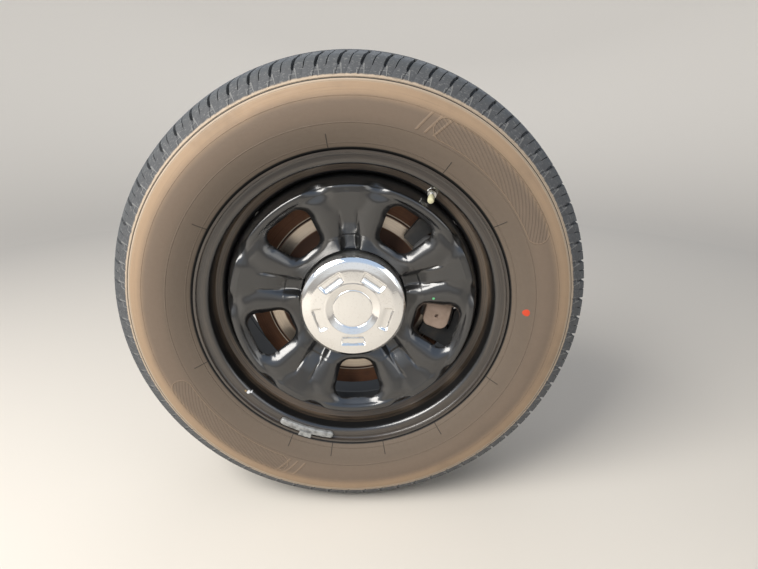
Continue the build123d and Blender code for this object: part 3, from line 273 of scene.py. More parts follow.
class Paint:
    """One material, its node tree and the ways to write on it."""

    def __init__(self, name: str) -> None:
        """Start a material with one Principled shader."""
        self.material = bpy.data.materials.new(name)
        self.material.use_nodes = True
        self.tree = self.material.node_tree
        self.shader = self.tree.nodes.get("Principled BSDF")

    def node(self, kind: str, settings: dict | None = None, sockets: dict | None = None) -> bpy.types.Node:
        """Add a node.

        Args:
            kind: The node's type.
            settings: Its properties, set first.
            sockets: Values or links of its input sockets, by name or number.

        Returns:
            The node.
        """
        made = self.tree.nodes.new(kind)
        for key, value in (settings or {}).items():
            setattr(made, key, value)
        for key, value in (sockets or {}).items():
            self.put(made.inputs[key], value)
        return made

    def put(self, socket: bpy.types.NodeSocket, value: object) -> None:
        """Link a signal or set a number or colour on a socket."""
        if isinstance(value, Signal):
            self.tree.links.new(value.socket, socket)
        elif socket.type == "RGBA":
            socket.default_value = (*value, 1.0)
        else:
            socket.default_value = value

    def value(
        self, kind: str, settings: dict | None = None, sockets: dict | None = None, output: int | str = 0
    ) -> Signal:
        """One output of a new node."""
        return Signal(self, self.node(kind, settings, sockets).outputs[output])

    def maths(self, operation: str, *values: Number, clamp: bool = False) -> Signal:
        """Value of one Math node."""
        settings = dict(operation=operation, use_clamp=clamp)
        return self.value("ShaderNodeMath", settings, dict(enumerate(values)))

    def ease(self, value: Number, low: float, high: float) -> Signal:
        """Smooth rise from 0 at low to 1 at high."""
        ends = {0: value, 1: low, 2: high, 3: 0.0, 4: 1.0}
        return self.value("ShaderNodeMapRange", dict(interpolation_type="SMOOTHSTEP"), ends)

    def band(self, value: Number, low: float, high: float, soft: float) -> Signal:
        """1 between low and high, with soft ends."""
        return self.ease(value, low - soft, low + soft) * (1.0 - self.ease(value, high - soft, high + soft))

    def line(self, value: Number, centre: float, width: float) -> Signal:
        """1 on a thin line at a centre, 0 further than a width from it."""
        return 1.0 - self.ease(self.maths("ABSOLUTE", value - centre), width * 0.3, width)

    def mix(self, share: Number, first: Tone, second: Tone) -> Signal:
        """Colour between two colours."""
        return self.value("ShaderNodeMix", dict(data_type="RGBA"), {0: share, 6: first, 7: second}, output=2)

    def layers(self, colour: Tone, *coats: tuple[Number, Tone]) -> Signal:
        """Colour with others laid over it, each by its share."""
        for share, tint in coats:
            colour = self.mix(share, colour, tint)
        return colour

    def place(self) -> Signal:
        """Object coordinates, in metres."""
        return self.value("ShaderNodeTexCoord", output="Object")

    def split(self, vector: Signal) -> tuple[Signal, Signal, Signal]:
        """The three parts of a vector."""
        made = self.node("ShaderNodeSeparateXYZ", None, {0: vector})
        return tuple(Signal(self, out) for out in made.outputs)

    def vector(self, x: Number, y: Number, z: Number) -> Signal:
        """Vector of three values."""
        return self.value("ShaderNodeCombineXYZ", None, {0: x, 1: y, 2: z})

    def noise(self, vector: Signal, scale: float, detail: float = 3.0, rough: float = 0.55) -> Signal:
        """Noise value about a half."""
        sockets = {"Vector": vector, "Scale": scale, "Detail": detail, "Roughness": rough}
        return self.value("ShaderNodeTexNoise", None, sockets)

    def polar(self) -> tuple[Signal, Signal, Signal]:
        """Radius and angle about the axle, in metres and radians, and the place along it."""
        x, y, z = self.split(self.place())
        x, z = x - AXLE.x, z - AXLE.z
        radius = (x * x + z * z) ** 0.5
        return radius, self.maths("ARCTAN2", z, x), y - AXLE.y

    def turned(self, angle: Signal, degrees: float) -> Signal:
        """Angle from a direction given in degrees, between minus and plus half a turn."""
        return self.maths("WRAP", angle - math.radians(degrees), math.pi, -math.pi)

    def streaks(self, radius: Signal, angle: Signal, waves: float, across: float) -> Signal:
        """Noise that runs round the axle: few waves round it and many across."""
        x = self.maths("COSINE", angle) * waves
        z = self.maths("SINE", angle) * waves
        return self.noise(self.vector(x, z, radius * across), 1.0, 4.0, 0.6)

    def relief(self, height: Signal, depth: float) -> None:
        """Bump the surface by a height between 0 and 1."""
        sockets = {"Height": height, "Distance": depth, "Strength": 1.0}
        self.set(Normal=self.value("ShaderNodeBump", None, sockets))

    def set(self, **values: object) -> None:
        """Set sockets of the shader, with underscores for spaces."""
        for key, value in values.items():
            self.put(self.shader.inputs[key.replace("_", " ")], value)


class Sky(Paint):
    """The world's nodes, written the same way as a material's."""

    def __init__(self, tree: bpy.types.NodeTree) -> None:
        """Start from an empty world."""
        self.tree = tree
        self.tree.nodes.clear()


@dataclass(frozen=True)
class Finish:
    """A finish of one colour, mottled by a second one and by grain."""

    name: str
    colour: Colour
    worn: Colour
    rough: float = 0.5
    metal: float = 0.0
    coat: float = 0.0
    mottle: float = 30.0
    share: float = 0.5
    grain: float = 900.0
    relief: float = 0.0
    coat_ior: float = 1.5
    coat_rough: float = 0.08
    patch_edge: Point = (0.42, 0.68)
    patch_rough: float = 0.15

    @lru_cache(maxsize=None)
    def material(self) -> bpy.types.Material:
        """The material, made once."""
        paint = Paint(self.name)
        paint.set(Metallic=self.metal, Coat_Weight=self.coat)
        paint.set(Coat_Roughness=self.coat_rough, Coat_IOR=self.coat_ior)
        self.dress(paint)
        return paint.material

    def dress(self, paint: Paint) -> None:
        """Write the mottling and the grain."""
        place = paint.place()
        patches = paint.ease(paint.noise(place, self.mottle, 5.0), *self.patch_edge) * self.share
        colour = self.shade(paint, paint.mix(patches, self.colour, self.worn))
        paint.set(Base_Color=colour, Roughness=patches * self.patch_rough + self.rough)
        if self.relief:
            paint.relief(paint.noise(place, self.grain, 3.0), self.relief)

    def shade(self, paint: Paint, colour: Signal) -> Signal:
        """Colour once the finish has changed it from place to place, which a plain one doesn't."""
        return colour


@dataclass(frozen=True)
class TyreRubber(Finish):
    """Sidewall browned in rings, darker shoulder, hatched panels and mould lines, with painted shade at the
    rim's gap and in the ledge's crease and a painted highlight on the outermost ring, in metres.
    """

    pitches: int = PITCHES
    # Near-black painted shade of the gap between the tyre and the rim's flange.
    bead: Colour = (0.008, 0.008, 0.008)
    outer: Colour = (0.365, 0.260, 0.173)
    # Cream painted highlight on the outermost ring of the sidewall.
    edge: Colour = (0.520, 0.440, 0.350)
    # Dark tone of the painted shade line in the ledge's crease, also used for the mould lines.
    dark_line: Colour = (0.030, 0.026, 0.023)
    shoulder: Colour = (0.080, 0.084, 0.090)
    tread: Colour = (0.080, 0.086, 0.092)
    stroke: Colour = (0.300, 0.305, 0.305)
    gap_shade_ends: Point = (0.2490, 0.2512)
    inner_ends: Point = (0.272, 0.296)
    middle_ends: Point = (0.309, 0.328)
    highlight_ring_starts: Point = (0.3345, 0.3390)
    ledge_shade_r: float = 0.3402
    shoulder_starts: Point = (0.3438, 0.3462)
    strokes_start: Point = (0.3440, 0.3475)
    tread_starts: Point = (0.358, 0.366)
    hook_ends: Point = (0.3455, 0.3590)
    hook_bend: Point = (0.350, 0.354)
    hook_bar_r: float = 0.3520
    hook_phases: Point = (0.30, 0.62)
    hook_width: float = 0.035
    circles: Floats = (0.2560, 0.2835, 0.3185, 0.3375, 0.3420)
    mould_lines: Floats = (32.0, 58.0, 97.0, 148.0, 200.0, 245.0, 261.0, 281.0, 303.0, 331.0)
    mould_ends: Point = (0.2495, 0.2700)
    mould_width: float = 0.0042
    panels: Points = ((44.5, 67.7), (224.5, 248.8))
    panel_r: float = 0.303
    panel_reach: float = 0.105
    panel_fill: Point = (0.0150, 0.0156)
    panel_edge: float = 0.0160
    bar_steps: Floats = (-2.6, 0.0, 2.6)
    bar_ends: Point = (0.2885, 0.3175)
    bar_lean: float = 1.6
    bar_width: float = 0.009
    gloss: float = 0.35
    relief_depth: float = 0.0009

    def dress(self, paint: Paint) -> None:
        """Write the rings of colour and the low relief."""
        radius, angle, along = paint.polar()
        place = paint.place()
        clouds = paint.noise(place, 9.0, 5.0)
        fine = paint.noise(place, 160.0, 4.0)
        streaks = paint.streaks(radius, angle, 2.5, 900.0)
        reach = radius + (clouds - 0.5) * 0.012
        strokes = paint.noise(paint.vector(angle * 75.0, radius * 700.0, along * 250.0), 1.0, 3.0, 0.7)
        hook = self.hooks(paint, radius, angle)
        panel, edge, hatch = self.long_panels(paint, radius, angle)
        lines = self.moulding(paint, radius, angle)
        colour = paint.layers(
            self.colour,
            (paint.ease(reach, *self.inner_ends), self.worn),
            (paint.ease(reach, *self.middle_ends), self.outer),
            (paint.ease(clouds, 0.5, 0.72) * 0.35, self.colour),
            (paint.ease(streaks, 0.5, 0.75) * 0.3, self.worn),
            # Painted shade: black where the gap against the flange lies in shade.
            (1.0 - paint.ease(radius, *self.gap_shade_ends), self.bead),
            # Painted highlight: the outermost ring lightened to cream.
            (paint.ease(radius, *self.highlight_ring_starts) * 0.7, self.edge),
            # Painted shade line in the crease of the ledge under the shoulder.
            (paint.line(radius, self.ledge_shade_r, 0.0011), self.dark_line),
            (paint.ease(radius + (fine - 0.5) * 0.004, *self.shoulder_starts), self.shoulder),
            (paint.ease(radius, *self.tread_starts), self.tread),
            (paint.ease(strokes, 0.56, 0.66) * paint.ease(radius, *self.strokes_start) * 0.45, self.stroke),
            (hook * 0.55, self.stroke),
            (hatch * 0.42, self.colour),
            (edge * 0.28, self.outer),
            (lines * 0.75, self.dark_line),
        )
        rough = paint.ease(fine, 0.3, 0.7) * 0.15 + 0.62
        paint.set(Base_Color=colour, Roughness=rough, Specular_IOR_Level=self.gloss)
        circles = 0.0
        for ring_r in self.circles:
            circles = paint.line(radius, ring_r, 0.0010) + circles
        height = circles * 0.6 + edge * 0.6 - hatch * 0.5 + lines * 0.5 + hook * 0.7
        paint.relief(height + streaks * 0.12 + fine * 0.10 + panel * 0.2, self.relief_depth)

    def hooks(self, paint: Paint, radius: Signal, angle: Signal) -> Signal:
        """Thin hooked ribs on the shoulder, one for each block of the tread."""
        phase = paint.maths("FRACT", angle * (self.pitches / math.tau))
        first, second = self.hook_phases
        bend = paint.ease(radius, *self.hook_bend) * 0.28
        stroke = paint.line(phase, first, self.hook_width)
        shifted = paint.line(phase + bend, second, self.hook_width)
        zone = paint.band(radius, *self.hook_ends, 0.0006)
        bar = paint.line(radius, self.hook_bar_r, 0.0009) * paint.band(phase, first, second, 0.02)
        return paint.maths("MAXIMUM", paint.maths("MAXIMUM", stroke, shifted) * zone, bar * 0.8)

    def long_panels(self, paint: Paint, radius: Signal, angle: Signal) -> tuple[Signal, Signal, Signal]:
        """Two long panels with raised outlines, fine ribs inside and three short bars beside each."""
        panel, edge, hatch = 0.0, 0.0, 0.0
        off = radius - self.panel_r
        for centre, bars in self.panels:
            turned = paint.turned(angle, centre)
            aside = paint.maths("ABSOLUTE", turned) * self.panel_r - self.panel_reach
            aside = paint.maths("MAXIMUM", aside, 0.0)
            away = (aside * aside + off * off) ** 0.5
            inside = 1.0 - paint.ease(away, *self.panel_fill)
            lanes = radius * 1190.0 - turned * 167.0 + paint.maths("SINE", turned * 9.0) * 2.5
            panel = inside + panel
            edge = paint.line(away, self.panel_edge, 0.0012) + edge
            hatch = inside * paint.ease(paint.maths("SINE", lanes), -0.2, 0.5) + hatch
            for step in self.bar_steps:
                bar = paint.line(paint.turned(angle, bars + step) + off * self.bar_lean, 0.0, self.bar_width)
                edge = bar * paint.band(radius, *self.bar_ends, 0.0005) + edge
        return panel, paint.maths("MINIMUM", edge, 1.0), hatch

    def moulding(self, paint: Paint, radius: Signal, angle: Signal) -> Signal:
        """Fine radial lines that the mould leaves beside the rim."""
        total = 0.0
        for degrees in self.mould_lines:
            total = paint.line(paint.turned(angle, degrees), 0.0, self.mould_width) + total
        return total * paint.band(radius, *self.mould_ends, 0.0006)


@dataclass(frozen=True)
class Chip:
    """Chip or dab in the paint: angle in degrees, radius and size in millimetres, and colour."""

    degrees: float
    radius: float
    size: float
    tint: Colour


@dataclass(frozen=True)
class WheelPaint(Finish):
    """Gloss black paint with dust that lies in the well and thins outwards, a painted highlight line by the
    outer bead seat, and small chips.
    """

    coat: float = 1.0
    coat_ior: float = 1.62
    coat_rough: float = 0.17
    rough: float = 0.30
    gloss: float = 0.4
    relief: float = 0.00012
    face_dust: float = 0.3
    soft: float = 0.0012
    well_r: Point = (0.2125, 0.2243)
    well_y: Point = (-0.0812, -0.0600)
    # These two place the painted highlight line along the raised ring by the outer bead seat.
    hump_r: Point = (0.2150, 0.2180)
    hump_y: float = -0.0838
    face_r: Point = (0.2262, 0.2300)
    face_y: Point = (-0.1060, -0.0990)
    back_y: Point = (-0.056, -0.048)
    chips: tuple[Chip, ...] = ()

    def dress(self, paint: Paint) -> None:
        """Write the dust, the painted highlight line, the chips and the orange peel of the paint."""
        radius, angle, along = paint.polar()
        place = paint.place()
        cloud = paint.noise(place, 24.0, 5.0)
        speck = paint.noise(place, 700.0, 2.0)
        streak = paint.streaks(radius, angle, 4.0, 700.0)
        well = paint.band(radius, *self.well_r, self.soft) * paint.band(along, *self.well_y, self.soft)
        # Painted highlight: a thin line in the dust colour where the raised ring of the bead seat catches
        # light.
        hump_highlight = paint.line(along, self.hump_y, self.soft) * paint.ease(radius, *self.hump_r) * 0.5
        face = paint.ease(radius, *self.face_r) * (1.0 - paint.ease(along, *self.face_y))
        # This sum is the dust plus the painted highlight line.
        dust_and_sheen = well * 0.85 + hump_highlight + face * self.face_dust + paint.ease(cloud, 0.45, 0.8) * 0.05
        dust_and_sheen = dust_and_sheen * (paint.ease(streak, 0.25, 0.7) * 0.7 + 0.3) + paint.ease(speck, 0.66, 0.8) * 0.04
        dust_and_sheen = paint.maths("MINIMUM", dust_and_sheen, 1.0)
        colour = paint.mix(dust_and_sheen, self.colour, self.worn)
        x, _, z = paint.split(place)
        for chip in self.chips:
            point = at(chip.radius, chip.degrees, 0.0)
            away = ((x - point.x) ** 2.0 + (z - point.z) ** 2.0) ** 0.5
            ragged = away + (speck - 0.5) * 0.002
            spot = 1.0 - paint.ease(ragged, chip.size * 0.7 * MM, chip.size * MM)
            colour = paint.mix(spot, colour, chip.tint)
        dull = paint.maths("MAXIMUM", dust_and_sheen, paint.ease(along, *self.back_y))
        paint.set(Base_Color=colour, Roughness=dull * 0.4 + self.rough, Specular_IOR_Level=self.gloss)
        paint.set(Coat_Weight=paint.maths("SUBTRACT", 1.0, dull, clamp=True) * self.coat)
        paint.relief(paint.noise(place, 60.0, 2.0), self.relief)


@dataclass(frozen=True)
class CapChrome(Finish):
    """Chrome with fine wear and a faint speckled layer, partly dust and partly a painted reflection of the
    ground, duller on the skirt.
    """

    rough: float = 0.05
    metal: float = 1.0
    relief: float = 0.00012
    skirt_y: Point = (-0.0985, -0.0950)
    skirt_rough: float = 0.32

    def dress(self, paint: Paint) -> None:
        """Write the layer of dust and painted reflection, the pits and the wear."""
        _, _, along = paint.polar()
        place = paint.place()
        pits = paint.noise(place, 420.0, 3.0)
        cloud = paint.noise(place, 35.0, 4.0)
        # Speckle from the pits is partly dust and partly a painted reflection of the ground; the cloud adds
        # dust.
        dust_and_sheen = paint.ease(pits, 0.56, 0.70) * 0.16 + paint.ease(cloud, 0.5, 0.8) * 0.10
        rough = dust_and_sheen * 0.4 + paint.ease(along, *self.skirt_y) * self.skirt_rough + self.rough
        colour = paint.mix(dust_and_sheen, self.colour, self.worn)
        paint.set(Base_Color=colour, Roughness=rough, Metallic=1.0 - dust_and_sheen * 0.35)
        paint.relief(pits * 0.5 + cloud * 0.6, self.relief)


@dataclass(frozen=True)
class DiscIron(Finish):
    """Brake iron: rusty swept ring with scored circles, a polished inner band in the cream of painted
    sunlight, a painted shade line and painted highlight line at its outer step, and a dark hat.
    """

    # Cream colour: the polished band as sunlight lights it, a painted highlight, and the colour of the step's
    # painted highlight line.
    polish_glint: Colour = (0.720, 0.620, 0.500)
    dark: Colour = (0.090, 0.045, 0.028)
    # Near-black painted shade line at the band's outer step.
    groove: Colour = (0.02, 0.016, 0.014)
    band_r: Point = (0.1240, 0.1430)
    hat_r: Point = (0.1210, 0.1240)
    groove_r: float = 0.1455
    crest_highlight_r: float = 0.1475

    def dress(self, paint: Paint) -> None:
        """Write the bands and the scoring."""
        radius, angle, _ = paint.polar()
        cloud = paint.noise(paint.place(), 55.0, 5.0)
        score = paint.streaks(radius, angle, 1.2, 1500.0)
        band = paint.band(radius, *self.band_r, 0.0012)
        colour = paint.layers(
            self.colour,
            (paint.ease(score, 0.35, 0.7) * 0.6, self.worn),
            (paint.ease(cloud, 0.45, 0.75) * 0.5, self.dark),
            # Polished band painted in the cream of sunlight.
            (band * (paint.ease(score, 0.3, 0.6) * 0.25 + 0.68), self.polish_glint),
            (1.0 - paint.ease(radius, *self.hat_r), self.dark),
            # Painted shade line in the step beside the band.
            (paint.line(radius, self.groove_r, 0.0013), self.groove),
            # Painted highlight line on the step's crest.
            (paint.line(radius, self.crest_highlight_r, 0.0011), self.polish_glint),
        )
        paint.set(Base_Color=colour, Metallic=band * 0.7 + 0.1, Roughness=0.75 - band * 0.4)
        paint.relief(score * 0.8 + cloud * 0.4, 0.0004)


@dataclass(frozen=True)
class CaliperPaint(Finish):
    """Casting with a tan lower part that is dust and painted sunlight, and a dark upper part."""

    upper: Colour = (0.075, 0.077, 0.080)
    # Angles over which the tan of dust and painted sunlight gives way to the dark upper colour.
    turn: Point = (math.radians(10.0), math.radians(22.0))

    def shade(self, paint: Paint, colour: Signal) -> Signal:
        """Colour with the dark upper part laid over it."""
        _, angle, _ = paint.polar()
        return paint.mix(paint.ease(angle, *self.turn), colour, self.upper)


BLACK: Colour = (0.0110, 0.0112, 0.0118)
DUST: Colour = (0.170, 0.125, 0.088)
PRIMER: Colour = (0.75, 0.78, 0.82)


class Look:
    """The finishes of this wheel end."""

    RUBBER = TyreRubber("tyre_rubber", (0.146, 0.115, 0.089), (0.180, 0.137, 0.104))
    RIM = WheelPaint(
        "rim_black",
        BLACK,
        DUST,
        chips=(
            Chip(220.0, 230.0, 3.2, PRIMER),
            Chip(220.9, 226.8, 1.8, PRIMER),
            Chip(218.8, 231.6, 2.0, (0.30, 0.20, 0.08)),
        ),
    )
    DISC = WheelPaint("disc_black", BLACK, DUST, chips=(Chip(3.9, 130.2, 2.4, (0.10, 0.55, 0.22)),))
    CHROME = CapChrome("cap_chrome", (0.86, 0.85, 0.83), (0.55, 0.45, 0.33))
    IRON = DiscIron("brake_iron", (0.150, 0.062, 0.030), (0.240, 0.120, 0.065))
    ALLOY = Finish(
        "cast_alloy", (0.42, 0.42, 0.41), (0.22, 0.21, 0.19), 0.5, 0.6, 0.0, 18.0, 0.7, 900.0, 0.0004
    )
    # Caliper tan: dusty metal with painted sunlight on it; the dark upper colour is set in CaliperPaint.
    FINGER = CaliperPaint(
        "caliper_cast_sunlit", (0.400, 0.300, 0.240), (0.260, 0.190, 0.145), 0.7, 0.0, 0.0, 40.0, 0.6, 700.0, 0.0005
    )
    BRACKET = Finish(
        "bracket_cast", (0.045, 0.046, 0.047), (0.100, 0.085, 0.070), 0.6, 0.1, 0.0, 35.0, 0.6, 700.0, 0.0005
    )
    ZINC = Finish("zinc_plate", (0.55, 0.55, 0.54), (0.34, 0.30, 0.24), 0.32, 0.9, 0.0, 60.0)
    TURNED = Finish("turned_steel", (0.50, 0.49, 0.48), (0.26, 0.20, 0.16), 0.38, 0.9, 0.0, 26.0, 0.6)
    SHIELD = Finish("shield_steel", (0.10, 0.10, 0.10), (0.17, 0.12, 0.09), 0.5, 0.5, 0.0, 22.0, 0.6)
    LINING = Finish(
        "pad_lining", (0.07, 0.07, 0.07), (0.14, 0.11, 0.09), 0.85, 0.0, 0.0, 90.0, 0.6, 1400.0, 0.0004
    )
    BUSH = Finish("bush_rubber", (0.020, 0.020, 0.021), (0.05, 0.045, 0.04), 0.7)
    VALVE = Finish("valve_metal", (0.72, 0.72, 0.70), (0.50, 0.48, 0.44), 0.25, 1.0, 0.0, 120.0, 0.4)
    VALVE_CAP = Finish("valve_cap", (0.70, 0.68, 0.46), (0.45, 0.42, 0.28), 0.45, 0.0, 0.3, 150.0)
    WEIGHT = Finish(
        "weight_metal", (0.38, 0.39, 0.39), (0.14, 0.14, 0.14), 0.45, 0.35, 0.0, 110.0, 0.8, 500.0, 0.0002
    )
    SPOT = Finish("paint_spot", (0.62, 0.06, 0.02), (0.50, 0.05, 0.02), 0.6)


# Mesh building


def show(name: str, data: bpy.types.ID) -> bpy.types.Object:
    """Make an object of a mesh, lamp or camera, and put it in the scene."""
    made = bpy.data.objects.new(name, data)
    bpy.context.scene.collection.objects.link(made)
    return made


class Form:
    """A mesh under construction, shaped by bmesh operators."""

    def __init__(self, name: str) -> None:
        """Start an empty mesh."""
        self.name = name
        self.bm = bmesh.new()

    def grid(
        self, columns: int, rows: int, place: Callable[[int, int], Vector]
    ) -> dict[tuple[int, int], bmesh.types.BMVert]:
        """Add a grid and move its points by a formula.

        Args:
            columns: Cells across.
            rows: Cells along.
            place: Point for a column and a row.

        Returns:
            The points by column and row.
        """
        made = bmesh.ops.create_grid(self.bm, x_segments=columns, y_segments=rows, size=0.5)
        points = {}
        for vert in made["verts"]:
            key = (round((vert.co.x + 0.5) * columns), round((vert.co.y + 0.5) * rows))
            points[key] = vert
            vert.co = place(*key)
        return points

    def lathe(self, path: Sequence[Point], steps: int, origin: Vector = AXLE, axis: Vector = INWARD) -> None:
        """Spin a closed outline about an axis.

        Args:
            path: Points as radius and place along the axis, in millimetres.
            steps: Facets round the axis.
            origin: Point on the axis.
            axis: Its direction.
        """
        out = axis.orthogonal().normalized()
        verts = [self.bm.verts.new(origin + out * (r * MM) + axis * (s * MM)) for r, s in path]
        edges = [self.bm.edges.new((a, b)) for a, b in zip(verts, verts[1:] + verts[:1])]
        bmesh.ops.spin(
            self.bm, geom=verts + edges, cent=origin, axis=axis, angle=math.tau, steps=steps, use_merge=True
        )

    def finish(
        self, look: Finish, slot: Slot, replaced: Iterable[str] = (), crease: float = 35.0, wall: float = 0.0
    ) -> bpy.types.Object:
        """Close the mesh, make its object, and put it on the turning wheel.

        Args:
            look: Its finish.
            slot: Not used.
            replaced: CAD nodes that it stands for.
            crease: Angle in degrees above which an edge stays sharp.
            wall: Thickness in millimetres given inward by a modifier, or nothing.

        Returns:
            The object.
        """
        bmesh.ops.remove_doubles(self.bm, verts=self.bm.verts, dist=WELD)
        bmesh.ops.recalc_face_normals(self.bm, faces=self.bm.faces)
        limit = math.radians(crease)
        for face in self.bm.faces:
            face.smooth = True
        for edge in self.bm.edges:
            edge.smooth = len(edge.link_faces) == 2 and edge.calc_face_angle(0.0) < limit
        mesh = bpy.data.meshes.new(self.name)
        self.bm.to_mesh(mesh)
        self.bm.free()
        mesh.materials.append(look.material())
        made = show(self.name, mesh)
        if wall:
            thick = made.modifiers.new("wall", "SOLIDIFY")
            thick.thickness = wall * MM
            thick.offset = -1.0
        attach(made, "wheel")
        if replaced:
            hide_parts(*replaced)
        LOG.info("%s: %d faces", self.name, len(mesh.polygons))
        return made


class Zone(Enum):
    """What a station of the tyre's section belongs to."""

    PLAIN = "plain"
    BLOCK = "block"
    SHOULDER = "shoulder"
    RIB = "rib"
    GROOVE = "groove"


Station = tuple[Point, Zone]


@dataclass
class Tyre:
    """One closed ring of rubber: beads, sidewalls, and the tread with its grooves and sipes."""

    pitches: int = PITCHES
    tread_r: float = 381.5
    crown_r: float = 410.0
    middle_y: Floats = (0.0, 8.0)
    rib_y: Floats = (30.0, 40.0)
    block_y: Floats = (62.0, 68.0, 74.0, 80.0, 85.0, 90.0)
    groove_y: Point = (17.5, 52.0)
    groove_half: float = 4.25
    groove_floor: float = 3.0
    groove_depth: float = 7.0
    lateral_depth: float = 5.5
    sipe_depth: float = 2.6
    nick_depth: float = 0.9
    scratch_depth: float = 0.2
    corner: tuple[Point, Point] = ((367.0, 99.0), (360.0, 105.0))
    shoulder_shares: Floats = (0.17, 0.34, 0.5, 0.67, 0.84)
    step: Points = ((342.0, 118.5), (341.0, 118.3), (339.6, 119.9))
    high_side: Points = ((339.6, 119.9), (322.5, 126.6), (303.0, 128.6))
    low_side: Points = ((303.0, 128.6), (276.25, 123.8), (249.5, 111.6))
    curl_at: Point = (236.0, 111.5)
    curl_r: float = 10.2
    curl_turns: Floats = (62.0, 40.0, 20.0, 0.0)
    bead: Points = ((235.4, 101.3), (230.8, 99.4), (228.9, 94.8), (228.9, 86.3), (234.9, 86.3))
    liner: Points = (
        (276.0, 111.0), (303.0, 120.1), (330.0, 115.0), (357.5, 86.0), (363.9, 45.0), (365.5, 0.0)
    )
    corner_pieces: int = 6
    inner_pieces: tuple[int, int] = (5, 6)
    outer_pieces: tuple[int, int] = (9, 13)
    skew: float = 0.35
    skew_from_y: float = 56.0
    skew_reach: float = 50.0
    side_skew: float = 1.5
    rib_skew: float = 0.006

    def crown(self, zone: Zone, *places: float) -> list[Station]:
        """Stations on the tread's arc."""
        drop = self.tread_r - self.crown_r
        return [((drop + math.sqrt(self.crown_r**2 - y * y), y), zone) for y in places]

    def half(self, high_pieces: int, low_pieces: int) -> list[Station]:
        """Stations from the tread's middle to the bead's toe, on the inner side of the car."""
        stations = self.crown(Zone.RIB, *self.middle_y)
        for middle, after, beyond in zip(self.groove_y, (Zone.RIB, Zone.BLOCK), (self.rib_y, self.block_y)):
            stations += self.crown(Zone.RIB, middle - self.groove_half)
            stations += self.crown(Zone.GROOVE, middle - self.groove_floor, middle + self.groove_floor)
            stations += self.crown(after, middle + self.groove_half, *beyond)
        stations += [(p, Zone.BLOCK) for p in arc(stations[-1][0], *self.corner, self.corner_pieces)]
        (r0, y0), (r1, y1) = self.corner[-1], self.step[0]
        stations += [((blend(r0, r1, s), blend(y0, y1, s)), Zone.SHOULDER) for s in self.shoulder_shares]
        plain = [*self.step, *arc(*self.high_side, high_pieces), *arc(*self.low_side, low_pieces)]
        for degrees in self.curl_turns:
            down, out = turned(self.curl_r, degrees)
            plain.append((self.curl_at[0] + out, self.curl_at[1] - down))
        return stations + [(p, Zone.PLAIN) for p in [*plain, *self.bead]]

    def section(self) -> list[Station]:
        """All stations round the section, outer skin first and then the liner."""
        inner, outer = self.half(*self.inner_pieces), self.half(*self.outer_pieces)
        skin = [((r, -y), zone) for (r, y), zone in reversed(outer)] + inner[1:]
        back = [*self.liner, *((r, -y) for r, y in reversed(self.liner[:-1]))]
        return skin + [(p, Zone.PLAIN) for p in back]

    def lines(self, zone: Zone) -> list[Point]:
        """Places and depths of the cross lines within one pitch of the tread."""
        deep, sipe, nick = self.lateral_depth, self.sipe_depth, self.nick_depth
        if zone is Zone.RIB:
            places = (0.06, 0.085, 0.10, 0.125, 0.38, 0.585, 0.60, 0.615, 0.8)
            depths = (0.0, sipe, sipe, 0.0, 0.0, 0.0, sipe, 0.0, 0.0)
        elif zone is Zone.SHOULDER:
            places = (0.0, 0.03, 0.07, 0.10, 0.38, 0.585, 0.60, 0.615, 0.8)
            depths = (0.0, nick, nick, 0.0, 0.0, 0.0, self.scratch_depth, 0.0, 0.0)
        else:
            places = (0.0, 0.04, 0.11, 0.15, 0.38, 0.57, 0.595, 0.62, 0.8)
            depths = (0.0, deep, deep, 0.0, 0.0, 0.0, sipe, 0.0, 0.0)
        return list(zip(places, depths))

    def lean(self, zone: Zone, y: float) -> float:
        """Turn of a station's cross lines, in pitches."""
        if zone is Zone.PLAIN:
            return self.skew * self.side_skew
        if abs(y) <= self.skew_from_y:
            return self.rib_skew * y
        side = (abs(y) - self.skew_from_y) / self.skew_reach
        return self.skew * side * side

    def build(self) -> bpy.types.Object:
        """Make the tyre."""
        form = Form("tyre_with_tread")
        section = self.section()
        count = len(section)
        tables = {zone: self.lines(zone) for zone in Zone}
        per_pitch = len(tables[Zone.BLOCK])
        rows = self.pitches * per_pitch

        def place(column: int, row: int) -> Vector:
            """Point of the ring for a station and a cross line."""
            index = column % count
            (radius, y), zone = section[index]
            pitch, line = divmod(row % rows, per_pitch)
            share, depth = tables[zone][line]
            if zone is Zone.PLAIN:
                share, depth = line / per_pitch, 0.0
            turn = pitch + share + self.lean(zone, y)
            if zone is Zone.GROOVE:
                depth = self.groove_depth
            (r0, y0), (r1, y1) = section[index - 1][0], section[(index + 1) % count][0]
            along = Vector((r1 - r0, y1 - y0)).normalized()
            radius -= depth * abs(along.y)
            if zone is not Zone.GROOVE:
                y -= math.copysign(depth * abs(along.x), y)
            return at(radius, 360.0 * turn / self.pitches, y - FLANGE_Y / MM)

        form.grid(count, rows, place)
        return form.finish(Look.RUBBER, Slot.TYRE, ["tyre"], crease=28.0)


